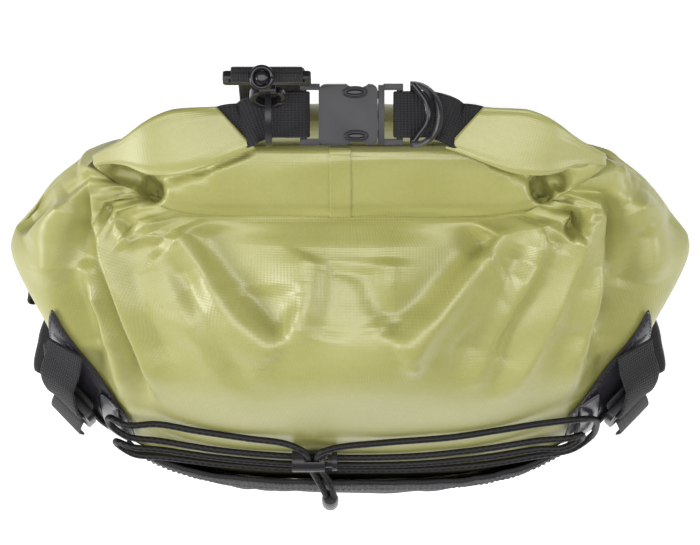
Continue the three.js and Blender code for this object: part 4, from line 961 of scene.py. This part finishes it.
def ovalRim(name, middle, long, wide, bar, material):
    turn = np.linspace(0, 2 * math.pi, 49)
    line = np.stack([middle[0] + long * np.cos(turn), middle[1] + wide * np.sin(turn),
                     middle[2] + 0 * turn], -1)
    line = atBuckle(line)
    round_ = np.linspace(0, 2 * math.pi, 12, endpoint=False)
    outline = bar / 2 * np.stack([np.cos(round_), np.sin(round_)], -1)
    out = atBuckle([0, 0, 1]) - atBuckle([0, 0, 0])
    points, faces, uvs, rings = sweep(line, out, outline)
    points, faces, uvs = capped(points, faces, uvs, rings)
    faceOutwards(newPiece(name, points, faces, material, uvs=uvs))


def domedOval(name, middle, long, wide, high, material):
    turn = np.linspace(0, 2 * math.pi, 40, endpoint=False)
    profile = [(1, -0.6), (1, 0), (0.97, 0.45), (0.86, 0.78), (0.62, 0.95), (0.3, 1.0), (0.03, 1.0)]
    rings = np.array([atBuckle(np.stack([middle[0] + long * r * np.cos(turn),
                                         middle[1] + wide * r * np.sin(turn),
                                         middle[2] + high * h + 0 * turn], -1)) for r, h in profile])
    faces, corners = gridFaces(len(rings), len(turn), True)
    uvs = [tuple(c) for c in corners.reshape(-1, 2)]
    points, faces, uvs = capped(rings.reshape(-1, 3), [list(f) for f in faces], uvs, rings)
    faceOutwards(newPiece(name, points, faces, material, uvs=uvs))


def makeFasteningDetails():
    top = topOf("buckle_socket")
    for (x, y), word in zip(detail["buttons"], ("upper", "lower")):
        ovalRim(f"release_rim_{word}", (x, y, top - 0.1), detail["buttonLong"], detail["buttonWide"], 1.3,
                satinPlastic)
        domedOval(f"release_button_{word}", (x, y, top - 0.2), detail["buttonLong"] - 1.2,
                  detail["buttonWide"] - 1.1, 0.9, glossPlastic)
    level = topOf("d_ring_right") - 1.4
    turn = np.linspace(0, 2 * math.pi, 12, endpoint=False)
    outline = detail["bridgeBar"] / 2 * np.stack([np.cos(turn), np.sin(turn)], -1)
    out = atBuckle([0, 0, 1]) - atBuckle([0, 0, 0])
    band("ring_bridge", atBuckle([(x, y, level) for x, y in detail["bridge"]]), out, 0, 0, glossPlastic,
         [], 60, outline)


makeFasteningDetails()


# The haul strap from the swivel's bar down behind the bag

hook = {"inner": 6.5, "outer": 9.8, "stem": 5.0, "loop": 10.0, "ringX": -44.0, "ringShift": 0.5,
        "ringTall": 36.0, "ringDeep": 21.0, "bow": 30.0}


def makeHaulStrap():
    bow = math.radians(hook["bow"])
    bowAcross = hook["ringTall"] / 2 - ringBar / 2
    bowOut = hook["ringDeep"] - ringBar
    stemTurn = math.atan2(bowAcross * math.cos(bow), bowOut * math.sin(bow))
    hookRise = hook["inner"] - ringBar / 2 - fit
    hookAt = np.array([hook["ringX"],
                       hook["ringShift"] + bowAcross * math.sin(bow) + hookRise * math.cos(stemTurn),
                       bowOut * math.cos(bow) + hookRise * math.sin(stemTurn)])
    outerBar = hook["outer"] - 1.5 + hook["stem"] + fit + 1.5 + hook["loop"] - ringBar / 2
    stem = np.array([0, math.cos(stemTurn), math.sin(stemTurn)])
    bar = atBuckle(hookAt + stem * outerBar)
    up = atBuckle(hookAt + stem * (outerBar + 1)) - bar
    behind = np.array([0, up[2], -up[1]])
    wrap = ringBar / 2 + 0.6 + webbingSize["thick"] / 2 + 0.4

    def at(out, along):
        return bar + behind * out + up * along

    x = bar[0]
    seat = bag["backReach"] + 2 * fit + webbingSize["thick"] / 2
    points = [
        at(9, -24), at(6, -12), at(3.4, -wrap - 1.2), at(0, -wrap), at(-wrap * 0.75, -wrap * 0.72),
        at(-wrap, 0),
        at(-wrap * 0.72, wrap * 0.72), at(0, wrap), at(wrap * 0.72, wrap * 0.72), at(wrap + 0.6, 0),
        at(wrap + 4, -9), at(13.5, -24),
        *[(x, seat + out * 12, bag["domeHeight"] + up * 74)
          for out, up in ((1, 0.58), (1, 0.11), (0.5, -0.32), (0.05, -0.65), (0, -1))],
    ]
    tilt = math.radians(fastening["tilt"])
    local = bar - np.array([0, fastening["y"], fastening["z"]])
    across = local[1] * math.cos(tilt) + local[2] * math.sin(tilt)
    level = local[2] * math.cos(tilt) - local[1] * math.sin(tilt) + wrap + 1.6
    middle = (detail["swivel"][0], across + detail["swivel"][1] - 1, level)
    ovalRim("swivel_rim", middle, detail["swivelRadius"], detail["swivelRadius"], detail["swivelBar"],
            glossPlastic)
    domedOval("swivel_post", middle, 3.6, 3.6, 2.4, glossPlastic)
    band("haul_webbing", points, np.array([1.0, 0, 0]), webbingSize["haul"], webbingSize["thick"], webbing,
         ["haul_strap"], 150)


makeHaulStrap()


# Patches and compression straps on the front corners

corner = {"angle": 57.0, "patchTop": 0.915, "shoulder": 0.79, "patchLow": 0.735, "tip": 0.76, "webTop": 0.885,
          "lockTop": 0.775, "lockTall": 26.0, "lockSeat": 10.0, "lockThick": 5.0, "lockBar": 3.7,
          "patchSeat": 2.0, "skinSeat": 1.0}
lockWrap = math.hypot(corner["lockBar"], corner["lockThick"]) / 2 + fit + webbingSize["thick"] / 2


def sheetOnBag(name, fromAngle, toAngle, lowAt, highAt, offset, thick, across, up, material, nodes):
    u = np.linspace(0, 1, across)[:, None]
    v = np.linspace(0, 1, up)[None, :]
    angle = fromAngle + (toAngle - fromAngle) * u + 0 * v
    low, high = lowAt(u), highAt(u)
    z = low + (high - low) * v
    inner = onBag(angle, z, np.full(z.shape, offset))
    outer = onBag(angle, z, np.full(z.shape, offset + thick))
    return thickSheet(name, inner, outer, material, nodes), outer


def makePatch(side, word):
    dome = bag["domeHeight"]

    def highAt(u):
        u = 1 - u if side < 0 else u
        aside = np.where(u > corner["tip"], (u - corner["tip"]) / (1 - corner["tip"]),
                         (corner["tip"] - u) / corner["tip"])
        height = np.maximum(0, 1 - 0.85 * aside)
        return (corner["shoulder"] + (corner["patchTop"] - corner["shoulder"]) * height) * dome

    near, far = side * (corner["angle"] - 19), side * (corner["angle"] + 12)
    start, end = (far, near) if side < 0 else (near, far)
    _, outer = sheetOnBag(f"corner_patch_{word}", start, end, lambda u: corner["patchLow"] * dome + 0 * u,
                          highAt, corner["patchSeat"], 1.2, 60, 46, patchCloth,
                          [f"strap_patch_{word}"])
    return outer


def sheetNormals(grid):
    return unit(np.cross(np.gradient(grid, axis=0), np.gradient(grid, axis=1)))


def rowStitches(grid, row=None, column=None, lift=0.25):
    normals = sheetNormals(grid)
    if row is not None:
        line, out = grid[row], normals[row]
    else:
        line, out = grid[:, column], normals[:, column]
    stitches(line + out * lift, out)


def cornerFrame(side):
    height = corner["lockTop"] * bag["domeHeight"]
    angle = side * corner["angle"]
    place = onBag(angle, height, corner["lockSeat"])
    out = onBag(angle, height, corner["lockSeat"] + 1) - place
    across = unit(np.cross([0, 0, 1], out))
    up = unit(np.cross(out, across))
    return place, out, across, up


def makeSideStraps(side, word):
    place, out, across, up = cornerFrame(side)
    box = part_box(f"ladder_lock_{word}")
    middle = (np.array(box[0]) + np.array(box[1])) / 2 / metre - centring
    place = middle

    def at(height, away):
        return place + up * height + out * away

    angle = side * corner["angle"]
    bar = (corner["lockTall"] - corner["lockBar"]) / 2
    top = corner["webTop"] * bag["domeHeight"]
    seat = corner["patchSeat"] + fit + 1.5 * webbingSize["thick"]
    points = [
        onBag(angle, top, seat + 1), onBag(angle, top - 9, seat + 4.5), onBag(angle, top - 20, 15.5),
        at(bar + 11, lockWrap + 2), at(bar + 1, lockWrap), at(bar - 0.7 * lockWrap, 0.7 * lockWrap),
        at(bar - lockWrap, 0), at(bar - 0.7 * lockWrap, -0.7 * lockWrap), at(bar, -lockWrap),
        at(bar + 12, -lockWrap),
    ]
    band(f"corner_webbing_{word}", points, across, webbingSize["wide"], webbingSize["thick"],
         webbing, [f"side_webbing_{word}"], 90)
    bar = -bar
    seat = corner["skinSeat"] + webbingSize["thick"]
    below = place[2] - corner["lockTall"] / 2
    points = [
        at(bar - 40, lockWrap - 1), at(bar - 22, lockWrap + 2), at(bar - 8, lockWrap + 1.4),
        at(bar - 1, lockWrap),
        at(bar + 0.7 * lockWrap, 0.7 * lockWrap), at(bar + lockWrap, 0),
        at(bar + 0.7 * lockWrap, -0.7 * lockWrap),
        at(bar, -lockWrap), onBag(angle, below - 12, seat + 2), onBag(angle, below - 26, seat + 0.6),
        *[onBag(angle, 44 + (below - 84) * t, seat) for t in (0.8, 0.6, 0.4, 0.2, 0)],
    ]
    band(f"side_webbing_low_{word}", points, across, webbingSize["wide"], webbingSize["thick"],
         webbing, [f"side_strap_{word}"], 150)


cordTab = {"low": 338, "high": 391}  # heights of the tabs that hold the cord


def makeAnchorTab(side, word):
    start, end = (-47, -40.5) if side < 0 else (40.5, 47)
    seat = corner["patchSeat"] + fit + 1.6
    sheetOnBag(f"cord_tab_{word}", start, end, lambda u: cordTab["low"] + 0 * u,
               lambda u: cordTab["high"] + 0 * u, seat, 1.6, 14, 40, patchCloth, [f"anchor_tab_{word}"])


for side, word in ((-1, "left"), (1, "right")):
    patch = makePatch(side, word)
    rowStitches(patch, row=3)
    rowStitches(patch, row=-4)
    rowStitches(patch, column=-3)
    makeSideStraps(side, word)
    makeAnchorTab(side, word)
print("patches and side straps made")


# The elastic cord, laced over the front: distance from the middle, height, distance off the bag

cord = {"wide": 4.0, "steps": 900}
cordRoute = np.array([
    (-14.2, 328, 19.4), (-17.5, 337, 15.5), (-22, 347, 10.6), (-24.2, 355, 8.6), (-24.2, 368, 8.6),
    (-28, 376, 7), (-38, 379, 4), (-60, 381, 2.6), (-90, 384, 2.6), (-112, 387, 5), (-127, 388, 9.4),
    (-137, 383, 9.4), (-138, 373, 9.4), (-129, 366, 9.4), (-112, 362, 5), (-80, 357, 2.6), (-40, 352.5, 2.6),
    (0, 351, 2.6), (40, 352.5, 2.6), (80, 357, 2.6), (112, 361, 5), (127, 363, 9.4), (134, 359, 9.4),
    (134, 351, 9.4), (126, 346, 9.4), (112, 345, 5), (80, 342, 2.6), (40, 338.5, 2.6), (0, 337.5, 2.6),
    (-40, 338.5, 2.6), (-80, 342, 2.6), (-112, 346, 5), (-127, 347, 9.4), (-136, 342, 9.4), (-136, 334, 9.4),
    (-127, 329, 9.4), (-112, 329, 5), (-80, 328.5, 2.6), (-40, 327, 2.6), (0, 326.5, 2.6), (40, 327, 2.6),
    (80, 328.5, 2.6), (112, 331, 5), (130, 334, 9.4), (140, 342, 9.4), (142, 358, 9.4), (140, 376, 9.4),
    (130, 387, 9.4), (112, 387, 5), (90, 384, 2.6), (60, 381, 2.6), (20, 378.5, 3), (-8, 377.5, 5.5),
    (-17.4, 375, 7.9), (-19.8, 368, 8.6), (-19.8, 355, 8.6), (-16, 346, 10.8), (-11.5, 337, 15.5),
    (-9.8, 328, 19.4),
])


def makeCord():
    x, z, offset = cordRoute.T
    line = curveThrough(onFront(x, z, offset), cord["steps"])
    turn = np.linspace(0, 2 * math.pi, 10, endpoint=False)
    outline = cord["wide"] / 2 * np.stack([np.cos(turn), np.sin(turn)], -1)
    along = unit(np.gradient(line, axis=0))
    side = np.zeros_like(line)
    side[0] = unit(np.cross(along[0], [0, -1, 0]))
    for i in range(1, len(line)):
        side[i] = unit(side[i - 1] - along[i] * (side[i - 1] @ along[i]))
    points, faces, uvs, rings = sweep(line, side, outline)
    points, faces, uvs = capped(points, faces, uvs, rings)
    newPiece("laced_cord", points, faces, cordBraid, ["bungee_cord"], uvs=uvs)


makeCord()
print("cord made")


# The front pocket and its bound edge

pocket = {"angle": 43.0, "high": 300.0, "low": 16.0, "wall": 1.6, "bulge": 6.5, "binding": 20.0, "seat": 1.0}


def pocketGrid(low, high, extra, across, up, vAt, crumple):
    u = np.linspace(0, 1, across)[:, None] + np.zeros((1, up))
    v = np.zeros((across, 1)) + np.linspace(0, 1, up)[None, :]
    angle = pocket["angle"] * (2 * u - 1)
    z = low + (high - low) * v
    stand = pocket["seat"] + pocket["bulge"] * np.maximum(np.sin(math.pi * u), 0) ** 0.6 * np.sin(
        math.pi * (0.04 + 0.46 * vAt(v)))
    folds = np.array([crumple * noise.noise(Vector((a / 7, b / 30, 1)))
                      for a, b in zip(angle.ravel(), z.ravel())])
    return onBag(angle, z, stand + extra + np.abs(folds.reshape(z.shape)))


def makePocket():
    shape = (150, 90)
    inner = pocketGrid(pocket["low"], pocket["high"], 0, *shape, lambda v: v, 2.4)
    outer = pocketGrid(pocket["low"], pocket["high"], pocket["wall"], *shape, lambda v: v, 2.4)
    piece = thickSheet("pocket_cloth", inner, outer, blackCloth, ["front_pocket"])
    wide = lengthsAlong(outer[:, shape[1] // 2])[-1] * metre
    low = pocket["high"] + fit
    shape = (150, 8)
    inner = pocketGrid(low, low + pocket["binding"], 0, *shape, lambda v: 1 + 0 * v, 1.2)
    outer = pocketGrid(low, low + pocket["binding"], pocket["wall"] + 1, *shape, lambda v: 1 + 0 * v, 1.2)
    thickSheet("pocket_edge", inner, outer, webbing, ["pocket_binding"])
    rowStitches(outer, column=1)
    rowStitches(outer, column=-2)


makePocket()
print("pocket made")


# The padded back, straps and hip wings, plain as such packs have them

pad = {"thick": 9.0, "high": 360.0, "foot": 28.0, "wide": 220.0, "strapWide": 60.0, "strapThick": 10.0,
       "strapFoot": 136.0, "adjuster": 24.0, "wingHigh": 85.0, "wingThick": 12.0, "footAngle": 129.0,
       "webFoot": 30.0}
padFace = bag["backReach"] + 1 + pad["thick"]


def crowned(u, v, power=5):  # 1 in the middle of a pad, 0 at its rim
    return np.clip((1 - np.abs(2 * u - 1) ** power) * (1 - np.abs(2 * v - 1) ** power), 0, 1) ** 0.5


def makeBackPad():
    reach = math.degrees(math.asin((pad["wide"] / 2 / (0.865 * bag["earReach"])) ** 1.5))
    u = np.linspace(0, 1, 90)[:, None] + np.zeros((1, 120))
    v = np.zeros((90, 1)) + np.linspace(0, 1, 120)[None, :]
    angle = 180 - reach + 2 * reach * u
    z = pad["foot"] + pad["high"] * v
    channels = 0
    for k in (0.25, 0.5, 0.75):
        channels = channels + np.exp(-((v - k) / 0.012) ** 2)
    thick = 1.5 + (pad["thick"] - 1.5) * crowned(u, v, 14) - 3.5 * channels * crowned(u, v, 8)
    inner = onBag(angle, z, np.full(z.shape, 1.0))
    outer = onBag(angle, z, 1 + thick)
    piece = thickSheet("back_padding", inner, outer, blackCloth, ["back_pad"])


def strapLine(side):
    seat = padFace + fit + pad["strapThick"] / 2
    return np.array([
        (side * 44, seat, pad["foot"] + pad["high"] - 6), (side * 50, seat + 3, 348),
        (side * 60, seat + 14, 300),
        (side * 71, seat + 25, 250), (side * 82, seat + 28, 205), (side * 92, seat + 23, 165),
        (side * 99, seat + 17, pad["strapFoot"]),
    ])


def makeShoulderStrap(side, word):
    route = strapLine(side)
    outline = paddedOutline(pad["strapWide"], pad["strapThick"])
    piece = band(f"padded_strap_{word}", route, np.array([1.0, 0, 0]), pad["strapWide"], pad["strapThick"],
                 blackCloth, [f"shoulder_strap_{word}"], 110, outline)[0]
    up = unit(route[-2] - route[-1])
    across = unit(np.array([1.0, 0, 0]) - up * up[0])
    out = np.cross(up, across)
    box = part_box(f"strap_adjuster_{word}")
    place = (np.array(box[0]) + np.array(box[1])) / 2 / metre - centring

    def at(height, away):
        return place + up * height + out * away

    bar = (pad["adjuster"] - corner["lockBar"]) / 2
    inside = pad["adjuster"] / 2 + pad["strapThick"] / 2
    loop = [at(inside, 0.6 * lockWrap), at(bar + 1, lockWrap), at(bar - 0.7 * lockWrap, 0.7 * lockWrap),
            at(bar - lockWrap, 0), at(bar - 0.7 * lockWrap, -0.7 * lockWrap), at(bar + 1, -lockWrap),
            at(inside, -0.6 * lockWrap)]
    band(f"strap_loop_{word}", loop, across, webbingSize["wide"], webbingSize["thick"], webbing,
         [], 60)
    angle = side * pad["footAngle"]
    seat = fit + webbingSize["thick"]
    low = onBag(angle, pad["webFoot"], seat)
    high = onBag(angle, pad["webFoot"] + 16, seat)
    tangent = unit(onBag(angle - 2, pad["webFoot"], seat) - onBag(angle + 2, pad["webFoot"], seat))
    if tangent[0] < 0:
        tangent = -tangent
    middle = (at(-bar - 12, -lockWrap) + high) / 2
    points = [
        at(-bar - 34, lockWrap), at(-bar - 18, lockWrap + 1), at(-bar - 8, lockWrap + 1),
        at(-bar - 1, lockWrap),
        at(-bar + 0.7 * lockWrap, 0.7 * lockWrap), at(-bar + lockWrap, 0),
        at(-bar + 0.7 * lockWrap, -0.7 * lockWrap),
        at(-bar, -lockWrap), at(-bar - 8, -lockWrap), middle, high, low,
    ]
    turned = unit(across + tangent)
    acrossAll = np.array([across] * 9 + [turned, tangent, tangent])
    band(f"strap_tail_{word}", points, acrossAll, webbingSize["wide"], webbingSize["thick"],
         webbing, [f"strap_webbing_{word}"], 130)


# Gear loops of narrow webbing on the sides: side, angle, height, stand, width
gearLoops = [
    ("left_upper", -93, 268, 34, 13), ("left_lower", -83, 256, 26, 16),
    ("right_upper", 90, 262, 24, 12), ("right_lower", 77, 250, 24, 18),
]


def makeGearLoop(word, angle, z, stand, wide):
    tall = 26
    points = [
        onBag(angle, z + tall, 1.2), onBag(angle, z + tall / 2, 2.5),
        onBag(angle, z + tall * 0.3, stand * 0.55),
        onBag(angle, z + 4, stand * 0.95), onBag(angle + 1, z - 5, stand), onBag(angle, z - 12, stand * 0.7),
        onBag(angle, z - 14, 4), onBag(angle, z - 24, 1.2),
    ]
    across = unit(onBag(angle + 2, z, 0) - onBag(angle - 2, z, 0))
    band(f"gear_loop_{word}", points, across, wide, webbingSize["thick"], webbing, [], 70)


for row in gearLoops:
    makeGearLoop(*row)


def makeHipWing(side, word):
    u = np.linspace(0, 1, 70)[:, None] + np.zeros((1, 36))
    v = np.zeros((70, 1)) + np.linspace(0, 1, 36)[None, :]
    along = 1 - u if side < 0 else u
    angle = side * (84 + 42 * along)
    flare = 48 * np.maximum(1 - along, 0) ** 1.4
    tall = pad["wingHigh"] * (0.62 + 0.38 * np.sqrt(along))
    z = 112 + (v - 0.5) * tall
    thick = 2 + (pad["wingThick"] - 2) * crowned(u, v, 6)
    inner = onBag(angle, z, fit + flare)
    outer = onBag(angle, z, fit + flare + thick)
    piece = thickSheet(f"hip_padding_{word}", inner, outer, blackCloth, [f"hip_wing_{word}"])


makeBackPad()
for side, word in ((-1, "left"), (1, "right")):
    makeShoulderStrap(side, word)
    makeHipWing(side, word)
print("padding and straps made")


def makeStitches():
    points, faces = [], []
    for a, b, out, long, wide in stitchLines:
        way = unit(b - a)
        middle = (a + b) / 2
        aside = np.cross(way, out)
        start = len(points)
        for s, w, h in ((-0.5, 0.6, 0.1), (-0.2, 1, 0.8), (0.2, 1, 0.8), (0.5, 0.6, 0.1)):
            base = middle + way * long * s
            points += [base + aside * wide * w / 2, base + out * wide * h, base - aside * wide * w / 2,
                       base - out * wide * 0.3]
        for k in range(3):
            for j in range(4):
                p, q = start + 4 * k + j, start + 4 * k + (j + 1) % 4
                faces.append([p, q, q + 4, p + 4])
        faces += [[start + 3, start + 2, start + 1, start], [start + 12, start + 13, start + 14, start + 15]]
    piece = newPiece("seam_stitching", np.array(points), faces, thread)
    faceOutwards(piece)


makeStitches()
print("stitching made:", len(stitchLines))


# Floor and light: a pale floor and broad soft lights, as in a studio

def makeFloor():
    mesh = bpy.data.meshes.new("floor")
    size = 4.0
    mesh.from_pydata([(-size, -size, 0), (size, -size, 0), (size, size, 0), (-size, size, 0)], [],
                     [(0, 1, 2, 3)])
    paint, _ = newMaterial("floorPaintMatt", {
        "Base Color": "#f4f4f4", "Roughness": 0.9, "Emission Color": "#ffffff", "Emission Strength": 0.5,
    })
    mesh.materials.append(paint)
    floor = bpy.data.objects.new("floor", mesh)
    bpy.context.scene.collection.objects.link(floor)


def makeLight(name, place, aim, size, power):
    light = bpy.data.lights.new(name, "AREA")
    light.shape = "RECTANGLE"
    light.size, light.size_y = size
    light.energy = power
    holder = bpy.data.objects.new(name, light)
    holder.location = place
    way = Vector(aim) - Vector(place)
    holder.rotation_euler = way.to_track_quat("-Z", "Y").to_euler()
    bpy.context.scene.collection.objects.link(holder)


makeFloor()
# Softboxes: place, aim and size in metres, power in watts
softboxes = {
    "softbox_above": {"place": (0, -0.4, 1.98), "aim": (0, 0.05, 0.45), "size": (1.8, 0.85), "power": 21},
    "softbox_left": {"place": (-1.45, -0.45, 1.05), "aim": (-0.05, 0, 0.42), "size": (0.5, 0.7), "power": 17},
    "softbox_right": {"place": (1.5, -0.2, 1.15), "aim": (0.05, 0, 0.42), "size": (0.5, 0.6), "power": 10},
}
for name, box in softboxes.items():
    makeLight(name, box["place"], box["aim"], box["size"], box["power"])
world = bpy.data.worlds.new("studio") if bpy.context.scene.world is None else bpy.context.scene.world
bpy.context.scene.world = world
world.use_nodes = True
world.node_tree.nodes["Background"].inputs["Color"].default_value = (1, 1, 1, 1)
world.node_tree.nodes["Background"].inputs["Strength"].default_value = 0.14
bpy.context.scene.view_settings.view_transform = "Standard"
print("stage and lights set")
